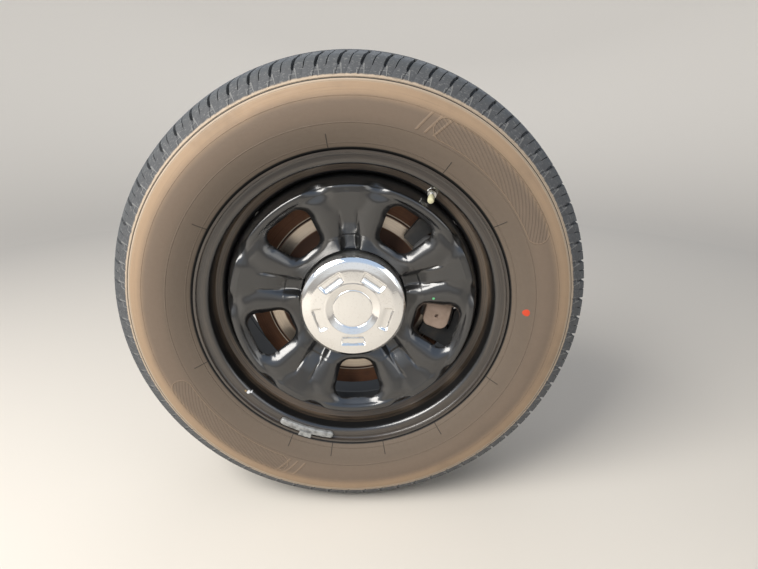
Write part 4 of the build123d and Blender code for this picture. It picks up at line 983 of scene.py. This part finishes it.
@dataclass
class Rim:
    """Rolled rim, 18 by 8 inch: flanges, bead seats with humps, and the drop centre."""

    wall: float = 3.4
    flange_r: float = 245.9
    flange_bend: float = 9.9
    edge_y: float = 112.6
    half: float = 101.6
    seat_r: float = 228.6
    seat_bend: float = 6.5
    seat_end_r: float = 226.9
    hump_r: float = 228.2
    hump_y: float = 82.6
    hump_width: float = 4.5
    hump_bend: float = 5.0
    ledge: Point = (224.3, 13.5)
    ramp: Point = (219.6, 2.0)
    ramp_bend: float = 30.0
    well_r: float = 210.0
    well_y: Point = (-20.0, -62.0)
    well_bend: float = 8.0
    wall_top: Point = (225.6, -67.5)
    tight_bend: float = 0.4
    arc_pieces: int = 7
    steps: int = 256

    def path(self) -> list[tuple[Point, float]]:
        """Corners of the section with their bend radii, from the inner flange outwards."""
        edge = [
            ((self.flange_r, self.edge_y), 0.0),
            ((self.flange_r, self.half), self.flange_bend),
            ((self.seat_r, self.half), self.seat_bend),
            ((self.seat_end_r, self.hump_y), self.hump_bend),
            ((self.hump_r, self.hump_y - self.hump_width), self.hump_bend),
        ]
        middle = [
            ((self.ledge[0], self.hump_y - self.ledge[1]), self.well_bend),
            (self.ramp, self.ramp_bend),
            *(((self.well_r, y), self.well_bend) for y in self.well_y),
            (self.wall_top, self.hump_bend),
        ]
        return [*edge, *middle, *(((r, -y), bend) for (r, y), bend in reversed(edge))]

    def build(self) -> bpy.types.Object:
        """Make the rim."""
        corners = self.path()
        points = [p for p, _ in corners]
        radii = [r for _, r in corners[1:-1]]
        back_radii = []
        for index, radius in enumerate(radii):
            (x0, y0), (x1, y1), (x2, y2) = points[index : index + 3]
            left = (x1 - x0) * (y2 - y1) - (y1 - y0) * (x2 - x1) > 0
            back_radii.append(radius + self.wall if left else max(radius - self.wall, self.tight_bend))
        front = round_path(points, radii, self.arc_pieces)
        back = round_path(offset_path(points, self.wall), back_radii, self.arc_pieces)
        form = Form("rim_rolled")
        form.lathe(front + back[::-1], self.steps)
        return form.finish(Look.RIM, Slot.BLACK, ["rim"], crease=40.0)


@dataclass
class PressedDisc:
    """Pressed disc of the wheel: crown, five channelled spokes, rolled windows and the flat seat."""

    wall: float = 5.0
    rows: int = 420
    gather: float = 0.4
    section: Points = (
        (35.3, 60.0), (89.0, 60.0), (113.0, 46.0), (184.0, 15.0), (194.5, 15.0), (206.3, 50.6), (206.3, 88.6),
    )
    bends: Floats = (7.0, 20.0, 9.0, 6.0, 12.0)
    seat_r: Floats = (82.0, 82.9, 83.8, 84.7, 85.6, 86.5, 87.4, 88.3)
    seat_end_r: float = 89.0
    seat_depth: float = 60.0
    skirt_depth: float = 60.5
    step: float = 1.7
    cone_slope: float = -0.437
    window_angle: float = 55.8
    spoke_angle: float = 91.8
    window: Trapezoid = Trapezoid(108.0, 174.5, 24.5, 44.5, 18.0)
    window_reach: Point = (90.0, 190.0)
    far: float = 99.0
    cap_r: float = 84.6
    cap_ease: float = 3.2
    lip_out_r: float = 194.5
    lip_depth: float = 17.0
    lip_slope: float = 0.217
    lip_swell: float = 5.4
    swell_starts: Point = (90.0, 112.0)
    swell_ends: Point = (174.0, 184.0)
    roll: float = 13.0
    roll_drop: float = 8.5
    ledge_ends: Point = (180.0, 189.0)
    ledge_gap: float = 9.0
    crown_r: float = 184.0
    crown_end_r: float = 188.0
    crown_depth: float = 15.0
    thumb_slope: float = 0.27
    thumb_half: float = 12.6
    thumb_starts: Point = (150.0, 174.0)
    channel_half: float = 12.5
    channel_flare: float = 1.9
    flare_starts: Point = (125.0, 150.0)
    channel_start_r: float = 146.0
    channel_end_r: float = 90.0
    channel_drop: float = 14.0
    edge_soft: Floats = (4.2, 1.4, 8.0)
    sharp_starts: Point = (122.0, 148.0)
    blunt_starts: Point = (152.0, 174.0)
    crease_depth: float = 2.2
    crease_width: float = 2.2
    crease_starts: Point = (112.0, 128.0)
    crease_ends: Point = (148.0, 162.0)
    notch_in_r: float = 171.0
    notch_edge_r: float = 188.0
    notch_depth: float = 16.8
    notch_starts: Point = (6.0, 12.5)
    notch_ends: Point = (13.5, 21.0)
    notch_gap: float = 8.0
    notch_sink: float = 2.2
    notch_run: float = 12.0
    notch_slope: float = 0.10
    notch_edge_slope: float = 0.6
    notch_ease: float = 3.0
    snaps: int = 3
    soften: int = 14
    soft_r: Point = (91.0, 192.0)

    def stations(self) -> list[Point]:
        """Radius and depth along the plain section, from the centre bore to the skirt's end."""
        path = round_path(self.section, self.bends)
        dense = [(r, s) for r, s in spread(path, self.step) if r > self.seat_end_r and s < self.skirt_depth]
        return [path[0], *((r, self.seat_depth) for r in self.seat_r), *dense, path[-1]]

    def degrees(self, row: int) -> float:
        """Angle of a row; the rows lie closer together along the middle of each spoke."""
        share = SPOKES * row / self.rows
        shift = self.gather / math.tau * math.sin(math.tau * share)
        return self.spoke_angle + 360.0 / SPOKES * (share - shift)

    def gap(self, radius: float, degrees: float) -> float:
        """Signed distance from the nearest window's outline."""
        return self.window.gap(*turned(radius, fold(degrees, SPOKES, self.window_angle)))

    def lip(self, radius: float, gap: float, flank: float) -> float:
        """Depth of the rounded ridge round a window, rolled back at the window's edge."""
        depth = self.lip_depth + (self.lip_out_r - radius) * self.lip_slope
        swell = 4.0 * gap * flank / (gap + flank + 0.1) ** 2
        depth -= self.lip_swell * swell * plateau(self.swell_starts, self.swell_ends, radius)
        return depth + self.roll_drop * (1.0 - min(gap / self.roll, 1.0)) ** 2

    def middle(self, radius: float) -> float:
        """Depth of the spoke's middle: the thumb outside, which falls to the channel's floor inside."""
        fall = self.channel_drop * (1.0 - smooth(self.channel_end_r, self.channel_start_r, radius))
        return self.crown_depth + max(self.crown_r - radius, 0.0) * self.thumb_slope + fall

    def notch(self, radius: float, aside: float, gap: float, depth: float) -> float:
        """Depth once the facet beside the thumb is pressed in, open to the crown's edge."""
        inside = plateau(self.notch_starts, self.notch_ends, aside) * smooth(0.0, self.notch_gap, gap)
        run = radius - self.notch_in_r
        facet = self.notch_depth + self.notch_sink * smooth(0.0, self.notch_run, run) + self.notch_slope * run
        facet += self.notch_edge_slope * max(radius - self.notch_edge_r, 0.0)
        return depth + max(facet - depth, 0.0) * inside * smooth(-self.notch_ease, self.notch_ease, run)

    def spoke(self, radius: float, degrees: float) -> tuple[float, float, float]:
        """Turn from the nearest spoke's middle, distance across it, and the channel's half width there."""
        turn = fold(degrees, SPOKES, self.spoke_angle)
        half = self.channel_half + self.channel_flare * smooth(*self.flare_starts, radius)
        return turn, abs(turned(radius, turn)[1]), half

    def depth(self, radius: float, degrees: float, plain: float) -> float:
        """Depth of the front face behind the rim's edge.

        Args:
            radius: Millimetres from the axle.
            degrees: Angle seen from outside.
            plain: Depth of the plain section there.

        Returns:
            Millimetres.
        """
        if radius < self.cap_r or plain > self.skirt_depth:
            return plain
        gap = max(self.gap(radius, degrees), 0.0)
        turn, across, half = self.spoke(radius, degrees)
        half += self.thumb_half * smooth(*self.thumb_starts, radius)
        near_cap = smooth(self.cap_r, self.cap_r + self.cap_ease, radius)
        ledge = near_cap * (1.0 - smooth(*self.ledge_ends, radius) * smooth(0.0, self.ledge_gap, gap))
        depth = blend(plain, self.lip(radius, gap, max(across - half, 0.0)), ledge)
        wide, sharp, blunt = self.edge_soft
        soft = blend(wide, sharp, smooth(*self.sharp_starts, radius))
        soft = blend(soft, blunt, smooth(*self.blunt_starts, radius))
        inside = (1.0 - smooth(half - soft, half + soft, across)) * near_cap
        inside *= 1.0 - smooth(self.crown_r, self.crown_end_r, radius)
        depth = blend(depth, self.middle(radius), inside)
        return self.notch(radius, abs(turn), gap, depth)

    def crease(self, radius: float, degrees: float) -> float:
        """Depth of the fine crease along each side of a spoke's channel."""
        _, across, half = self.spoke(radius, degrees)
        along = plateau(self.crease_starts, self.crease_ends, radius)
        return self.crease_depth * bump(across - half, self.crease_width) * along

    def build(self) -> bpy.types.Object:
        """Make the disc, with its windows cut along their outlines."""
        stations = self.stations()
        form = Form("disc_pressed")

        def place(column: int, row: int) -> Vector:
            """Point of the front face."""
            radius, plain = stations[column]
            degrees = self.degrees(row)
            return at(radius, degrees, self.depth(radius, degrees, plain))

        points = form.grid(len(stations) - 1, self.rows, place)
        low, high = self.window_reach
        gaps = {}
        for (column, row), vert in points.items():
            radius = stations[column][0]
            gaps[vert] = self.gap(radius, self.degrees(row)) if low < radius < high else self.far
        inside = [face for face in form.bm.faces if all(gaps[vert] < 0.0 for vert in face.verts)]
        bmesh.ops.delete(form.bm, geom=inside, context="FACES")
        for (column, row), vert in points.items():
            if vert.is_valid and gaps[vert] < 0.0:
                self.snap(vert, *stations[column], self.degrees(row))
        self.relax(form.bm)
        return form.finish(Look.DISC, Slot.BLACK, ["wheel_disc"], crease=50.0, wall=self.wall)

    def relax(self, mesh: bmesh.types.BMesh) -> None:
        """Soften the pressing as sheet metal does, then press the creases in."""
        low, high = self.soft_r
        places = {vert: (vert.co - AXLE) / MM for vert in mesh.verts if not vert.is_boundary}
        radii = {vert: math.hypot(place.x, place.z) for vert, place in places.items()}
        kept = [vert for vert, radius in radii.items() if low < radius < high]
        for _ in range(self.soften):
            bmesh.ops.smooth_vert(mesh, verts=kept, factor=0.5, use_axis_y=True)
        for vert in kept:
            degrees = math.degrees(math.atan2(places[vert].z, places[vert].x))
            vert.co.y += self.crease(radii[vert], degrees) * MM

    def snap(self, vert: bmesh.types.BMVert, radius: float, plain: float, degrees: float) -> None:
        """Move a point of the grid onto the window's outline."""

        def gap(x: float, z: float) -> float:
            """Distance from the outline at a place across the axle."""
            return self.gap(math.hypot(x, z), math.degrees(math.atan2(z, x)))

        x, z = turned(radius, degrees)
        probe, least = 0.1, 1e-6
        for _ in range(self.snaps):
            here = gap(x, z)
            slope_x, slope_z = gap(x + probe, z) - here, gap(x, z + probe) - here
            size = max(math.hypot(slope_x, slope_z), least)
            x, z = x - here * slope_x / size, z - here * slope_z / size
        new_r, new_angle = math.hypot(x, z), math.degrees(math.atan2(z, x))
        plain += (new_r - radius) * self.cone_slope
        vert.co = at(new_r, new_angle, self.depth(new_r, new_angle, plain))


@dataclass
class CentreCap:
    """Chrome centre cap: flat centre in a dished ring, domed face with five pockets, and a rolled edge."""

    rows: int = 360
    wall: float = 1.5
    section: Points = (
        (0.01, 8.2), (31.0, 9.2), (42.5, 4.0), (66.0, 5.2), (78.6, 8.2), (84.2, 13.0), (82.0, 58.0)
    )
    bends: Floats = (2.0, 3.0, 30.0, 9.0, 2.2)
    step: float = 1.3
    face_depth: float = 16.0
    pocket_angle: float = 54.0
    pocket_starts: Point = (44.0, 54.0)
    pocket_ends: Point = (60.5, 62.7)
    pocket_sides: Point = (16.0, 20.0)
    pocket_flare: float = 0.12
    pocket_depth: float = 4.0
    groove_width: float = 0.8
    grooves: Points = ((31.6, 0.9), (45.4, 0.35))

    def stations(self) -> list[Point]:
        """Radius and depth along the section, from the centre to the skirt's end."""
        path = round_path(self.section, self.bends)
        return [p for p in spread(path, self.step) if p[1] < self.face_depth] + [path[-1]]

    def pressing(self, radius: float, degrees: float) -> float:
        """Depth of the pockets and the ring grooves."""
        out, aside = turned(radius, fold(degrees, SPOKES, self.pocket_angle))
        aside = abs(aside) - self.pocket_flare * (out - self.pocket_starts[1])
        pocket = plateau(self.pocket_starts, self.pocket_ends, out)
        pocket *= 1.0 - smooth(*self.pocket_sides, aside)
        grooves = sum(depth * bump(radius - groove_r, self.groove_width) for groove_r, depth in self.grooves)
        return self.pocket_depth * pocket + grooves

    def build(self) -> bpy.types.Object:
        """Make the cap."""
        stations = self.stations()
        form = Form("cap_chrome_face")

        def place(column: int, row: int) -> Vector:
            """Point of the cap's face."""
            radius, depth = stations[column]
            degrees = 360.0 * row / self.rows
            if depth < self.face_depth:
                depth += self.pressing(radius, degrees)
            return at(radius, degrees, depth)

        form.grid(len(stations) - 1, self.rows, place)
        return form.finish(Look.CHROME, Slot.CHROME, ["centre_cap"], crease=60.0, wall=self.wall)


@dataclass
class Valve:
    """Clamp-in valve: washer, nut and stem along its own axis, with a round pale cap."""

    degrees: float = 55.0
    lean: float = 19.4
    root_r: float = 216.6
    root_depth: float = 44.4
    steps: int = 32
    washer: Points = (
        (0.01, -19.0), (7.4, -19.0), (7.4, -5.6), (5.6, -5.6), (5.6, 0.0), (8.2, 0.0), (8.2, 2.2), (7.6, 2.6)
    )
    nut: Points = ((7.6, 8.6), (7.0, 9.4), (4.6, 9.6), (4.6, 11.0), (3.6, 11.4))
    threads: int = 9
    thread_pitch: float = 0.9
    thread: tuple[Point, Point] = ((3.6, 11.6), (3.2, 12.05))
    tip: tuple[Point, Point] = ((3.2, 21.0), (0.01, 21.0))
    cap: Points = (
        (3.9, 16.4), (4.7, 16.4), (5.0, 16.9), (5.0, 28.6), (4.5, 30.0), (3.0, 30.8), (0.01, 31.0),
        (0.01, 24.0), (3.9, 24.0),
    )

    def build(self) -> list[bpy.types.Object]:
        """Make the valve and its cap on an axis that leans inwards from the rim's wall."""
        foot = at(self.root_r, self.degrees, self.root_depth)
        lean = math.radians(self.lean)
        x, z = turned(-math.sin(lean), self.degrees)
        out = Vector((x, -math.cos(lean), z))
        turns = [step * self.thread_pitch for step in range(self.threads)]
        thread = [(r, s + turn) for turn in turns for r, s in self.thread]
        body, cap = Form("valve_nut_and_stem"), Form("valve_cap_round")
        body.lathe([*self.washer, *self.nut, *thread, *self.tip], self.steps, foot, out)
        cap.lathe(self.cap, self.steps, foot, out)
        return [
            body.finish(Look.VALVE, Slot.VALVE, ["valve_stem"], crease=30.0),
            cap.finish(Look.VALVE_CAP, Slot.VALVE_CAP, ["valve_cap"], crease=30.0),
        ]


@dataclass
class BalanceWeight:
    """Clip-on balance weight with round ends, bedded in the outer flange, and its spring clip."""

    centre: float = 249.4
    span: float = 23.0
    low_r: float = 230.2
    high_r: float = 241.8
    back: float = 8.6
    thick: float = 7.8
    squareness: float = 0.45
    end_gather: float = 0.55
    end_thick: float = 0.35
    columns: int = 20
    rows: int = 48
    clip_span: float = 5.0
    clip_rows: int = 6
    clip: Points = (
        (238.0, 0.6), (238.0, -1.2), (246.8, -1.2), (246.9, 3.0), (246.2, 3.0), (246.2, -0.4), (238.8, -0.4),
        (238.8, 0.6),
    )

    def build(self) -> list[bpy.types.Object]:
        """Make the weight and the clip."""
        return [
            self.bar().finish(Look.WEIGHT, Slot.WEIGHT, ["balance_weight"], crease=40.0),
            self.hook().finish(Look.WEIGHT, Slot.WEIGHT, crease=30.0),
        ]

    def bar(self) -> Form:
        """Rounded bar swept along the flange, rounded off at both ends."""
        mid_r, half_r = (self.low_r + self.high_r) / 2, (self.high_r - self.low_r) / 2
        half_deg, half_thick = self.span / 2, self.thick / 2
        end_deg = math.degrees(half_r / mid_r)
        form = Form("weight_bar")

        def bent(value: float, power: float) -> float:
            """Power of a number that keeps its sign."""
            return math.copysign(abs(value) ** power, value)

        def place(column: int, row: int) -> Vector:
            """Point of the bar."""
            turn = math.tau * column / self.columns
            wide, high = bent(math.cos(turn), self.squareness), bent(math.sin(turn), self.squareness)
            angle = half_deg * bent(2.0 * row / self.rows - 1.0, self.end_gather)
            past = max(abs(angle) - (half_deg - end_deg), 0.0) / end_deg
            fit = math.sqrt(max(1.0 - past * past, 0.0))
            rise = half_thick * high * blend(self.end_thick, 1.0, fit) if fit > 0.0 else 0.0
            return at(mid_r + half_r * wide * fit, self.centre + angle, self.back - half_thick + rise)

        form.grid(self.columns, self.rows, place)
        return form

    def hook(self) -> Form:
        """Bent strip of the clip over the flange's edge."""
        count = len(self.clip)
        form = Form("weight_clip")

        def place(column: int, row: int) -> Vector:
            """Point of the strip."""
            radius, depth = self.clip[column % count]
            return at(radius, self.centre + self.clip_span * (row / self.clip_rows - 0.5), depth)

        points = form.grid(count, self.clip_rows, place)
        for row in (0, self.clip_rows):
            form.bm.faces.new([points[(column, row)] for column in range(count)])
        return form


@dataclass
class PaintDot:
    """Small dab of marking paint on the tyre's sidewall."""

    degrees: float = -0.57
    radius: float = 271.1
    size: float = 5.6
    ripple: float = 0.05
    lift: float = 0.3
    clearance: float = 0.02
    columns: int = 5
    rows: int = 20
    pieces: int = 24

    def surface(self, radius: float) -> float:
        """Depth of the sidewall behind the rim's edge at a radius."""
        side = arc(*Tyre.low_side, self.pieces)
        (r0, y0), (r1, y1) = next(pair for pair in zip(side, side[1:]) if pair[1][0] <= radius)
        return -FLANGE_Y / MM - blend(y0, y1, (r0 - radius) / (r0 - r1))

    def build(self) -> bpy.types.Object:
        """Make the dab as a thin dome on the rubber."""
        form = Form("sidewall_dab")

        def place(column: int, row: int) -> Vector:
            """Point of the dab."""
            share, turn = column / self.columns, math.tau * row / self.rows
            away = self.size * share * (1.0 + self.ripple * math.sin(3 * turn))
            radius = self.radius + away * math.sin(turn)
            degrees = self.degrees + math.degrees(away * math.cos(turn) / self.radius)
            rise = self.lift * (1.0 - share * share) + self.clearance
            return at(radius, degrees, self.surface(radius) - rise)

        form.grid(self.columns, self.rows, place)
        return form.finish(Look.SPOT, Slot.TYRE, wall=self.lift)


@dataclass
class Brake:
    """The brake, hub, knuckle and small parts, which keep their CAD shapes and get their finishes."""

    finishes: tuple[tuple[str, Finish], ...] = (
        ("brake_disc", Look.IRON),
        ("hub", Look.TURNED),
        ("bearing_housing", Look.TURNED),
        ("knuckle", Look.ALLOY),
        ("dust_shield", Look.SHIELD),
        ("caliper_bracket", Look.BRACKET),
        ("caliper_piston", Look.ZINC),
        ("caliper", Look.FINGER),
        ("brake_pad", Look.LINING),
    )

    def look(self, name: str) -> Finish:
        """Finish of a CAD node: rubber for a bush, zinc plate for what the list doesn't name."""
        other = Look.BUSH if name.endswith("_bush") else Look.ZINC
        return next((finish for start, finish in self.finishes if name.startswith(start)), other)

    def dress(self, nodes: dict[str, bpy.types.Object]) -> None:
        """Give every CAD node that is shown its finish."""
        for name, node in nodes.items():
            node.data.materials.clear()
            node.data.materials.append(self.look(name).material())
        LOG.info("dressed %d nodes", len(nodes))


@dataclass(frozen=True)
class Lamp:
    """Soft square lamp turned to a target, in metres and watts."""

    name: str
    place: Place
    target: Place
    size: float
    watts: float
    tone: Colour

    def hang(self) -> None:
        """Put the lamp in the scene."""
        data = bpy.data.lights.new(self.name, "AREA")
        data.shape = "SQUARE"
        data.size = self.size
        data.energy = self.watts
        data.color = self.tone
        made = show(self.name, data)
        made.location = self.place
        made.rotation_euler = (Vector(self.target) - Vector(self.place)).to_track_quat("-Z", "Y").to_euler()


@dataclass
class Studio:
    """Pale floor, soft lamps, a plain backdrop and the camera at the photograph's angle."""

    floor_tone: Colour = (0.78, 0.745, 0.69)
    floor_rough: float = 0.85
    floor_drop: float = 0.0005
    floor_r: float = 2.3
    floor_sides: int = 96
    bend_r: float = 1.8
    bend_steps: int = 16
    wall_z: float = 5.0
    wall_glow: float = 0.25
    dark: Colour = (0.0, 0.0, 0.0)
    ambient: Colour = (0.31, 0.32, 0.34)
    ambient_back: Colour = (0.10, 0.10, 0.11)
    back_starts: Point = (0.0, 0.7)
    sky_low: Colour = (0.86, 0.88, 0.90)
    sky_high: Colour = (0.50, 0.64, 0.86)
    sky_rise: Point = (0.0, 0.75)
    ground: Colour = (0.44, 0.42, 0.40)
    ground_edge: Point = (-0.12, 0.15)
    horizon: Colour = (0.62, 0.60, 0.56)
    backdrop: Colour = (0.84, 0.84, 0.83)
    backdrop_rise: Point = (0.0, 0.35)
    lamps: tuple[Lamp, ...] = (
        Lamp("key", (-1.4, -1.3, 1.75), (0.0, -0.1, 0.1), 1.5, 80.0, (1.0, 0.96, 0.90)),
        Lamp("fill", (1.7, -1.3, 0.9), (0.0, -0.1, 0.1), 1.2, 6.5, (1.0, 0.95, 0.86)),
        Lamp("rear", (0.4, 2.4, 2.3), (0.0, 0.0, 0.1), 2.4, 16.0, (1.0, 0.99, 0.97)),
    )
    eye: Place = (0.01709, -0.90443, 0.45941)
    yaw: float = 0.0317
    pitch: float = -0.3545
    lens: float = 24.98
    sensor: float = 36.0

    def floor(self) -> None:
        """Lay the round floor under the tyre, and round it the bowl that only the camera sees."""
        flat = bmesh.new()
        bmesh.ops.create_circle(flat, cap_ends=True, segments=self.floor_sides, radius=self.floor_r)
        self.stage("floor", flat)
        bend = [math.pi / 2 * step / self.bend_steps for step in range(self.bend_steps + 1)]
        run, rise = self.floor_r, self.bend_r
        path = [(run + rise * math.sin(turn), rise * (1.0 - math.cos(turn))) for turn in bend]
        path.append((path[-1][0], self.wall_z))
        bowl = Form("bowl")

        def place(column: int, row: int) -> Vector:
            """Point of the bowl."""
            away, height = path[row]
            turn = math.tau * column / self.floor_sides
            return Vector((away * math.cos(turn), away * math.sin(turn), height))

        bowl.grid(self.floor_sides, len(path) - 1, place)
        bmesh.ops.remove_doubles(bowl.bm, verts=bowl.bm.verts, dist=WELD)
        wall = self.stage("bowl", bowl.bm)
        wall.visible_diffuse = wall.visible_glossy = wall.visible_transmission = wall.visible_shadow = False

    def stage(self, name: str, form: bmesh.types.BMesh) -> bpy.types.Object:
        """Make a piece of the stage, pale and dull, at the floor's height."""
        bmesh.ops.translate(form, verts=form.verts, vec=(0.0, 0.0, FLOOR_Z - self.floor_drop))
        mesh = bpy.data.meshes.new(name)
        form.to_mesh(mesh)
        form.free()
        mesh.shade_smooth()
        paint = Paint(f"{name}_pale")
        x, y, _ = paint.split(paint.place())
        glow = paint.ease((x**2.0 + y**2.0) ** 0.5, self.floor_r, self.floor_r + self.bend_r)
        paint.set(Base_Color=self.floor_tone, Roughness=self.floor_rough, Emission_Strength=self.wall_glow)
        paint.set(Emission_Color=paint.mix(glow, self.dark, self.floor_tone))
        mesh.materials.append(paint.material)
        made = show(name, mesh)
        made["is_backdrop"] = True
        return made

    def world(self) -> None:
        """Light from all sides, with a pale backdrop for the camera and a pale sky for reflections."""
        world = bpy.data.worlds.new("backdrop")
        world.use_nodes = True
        bpy.context.scene.world = world
        sky = Sky(world.node_tree)
        rays = sky.node("ShaderNodeLightPath")
        kinds = ("Camera", "Glossy", "Transmission")
        seen, glossy, passed = (Signal(sky, rays.outputs[f"Is {kind} Ray"]) for kind in kinds)
        _, behind, height = sky.split(sky.value("ShaderNodeTexCoord", output="Generated"))
        around = sky.mix(sky.ease(behind, *self.back_starts), self.ambient, self.ambient_back)
        above = sky.mix(sky.ease(height, *self.sky_rise), self.sky_low, self.sky_high)
        mirrored = sky.mix(sky.ease(height, *self.ground_edge), self.ground, above)
        shown = sky.mix(sky.ease(height, *self.backdrop_rise), self.horizon, self.backdrop)
        colour = sky.layers(around, (sky.maths("MAXIMUM", glossy, passed), mirrored), (seen, shown))
        light = sky.node("ShaderNodeBackground", None, {"Color": colour, "Strength": 1.0})
        out = sky.node("ShaderNodeOutputWorld")
        sky.tree.links.new(light.outputs[0], out.inputs[0])

    def camera(self) -> None:
        """Place the camera."""
        data = bpy.data.cameras.new("camera")
        data.lens = self.lens
        data.sensor_width = self.sensor
        made = show("camera", data)
        made.location = self.eye
        made.rotation_euler = (math.pi / 2 + self.pitch, 0.0, -self.yaw)
        bpy.context.scene.camera = made

    def build(self) -> None:
        """Set the stage."""
        self.floor()
        self.world()
        for lamp in self.lamps:
            lamp.hang()
        self.camera()
        bpy.context.scene.view_settings.view_transform = "Standard"


def main() -> None:
    """Build the wheel end and its stage."""
    logging.basicConfig(level=logging.INFO, format="%(message)s")
    Brake().dress(frame["nodes"])
    for part in (Tyre(), Rim(), PressedDisc(), CentreCap(), Valve(), BalanceWeight(), PaintDot(), Studio()):
        part.build()


if __name__ == "__main__":
    main()
    [[list(corner) for corner in box] for box in (CAD_BOX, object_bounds())]
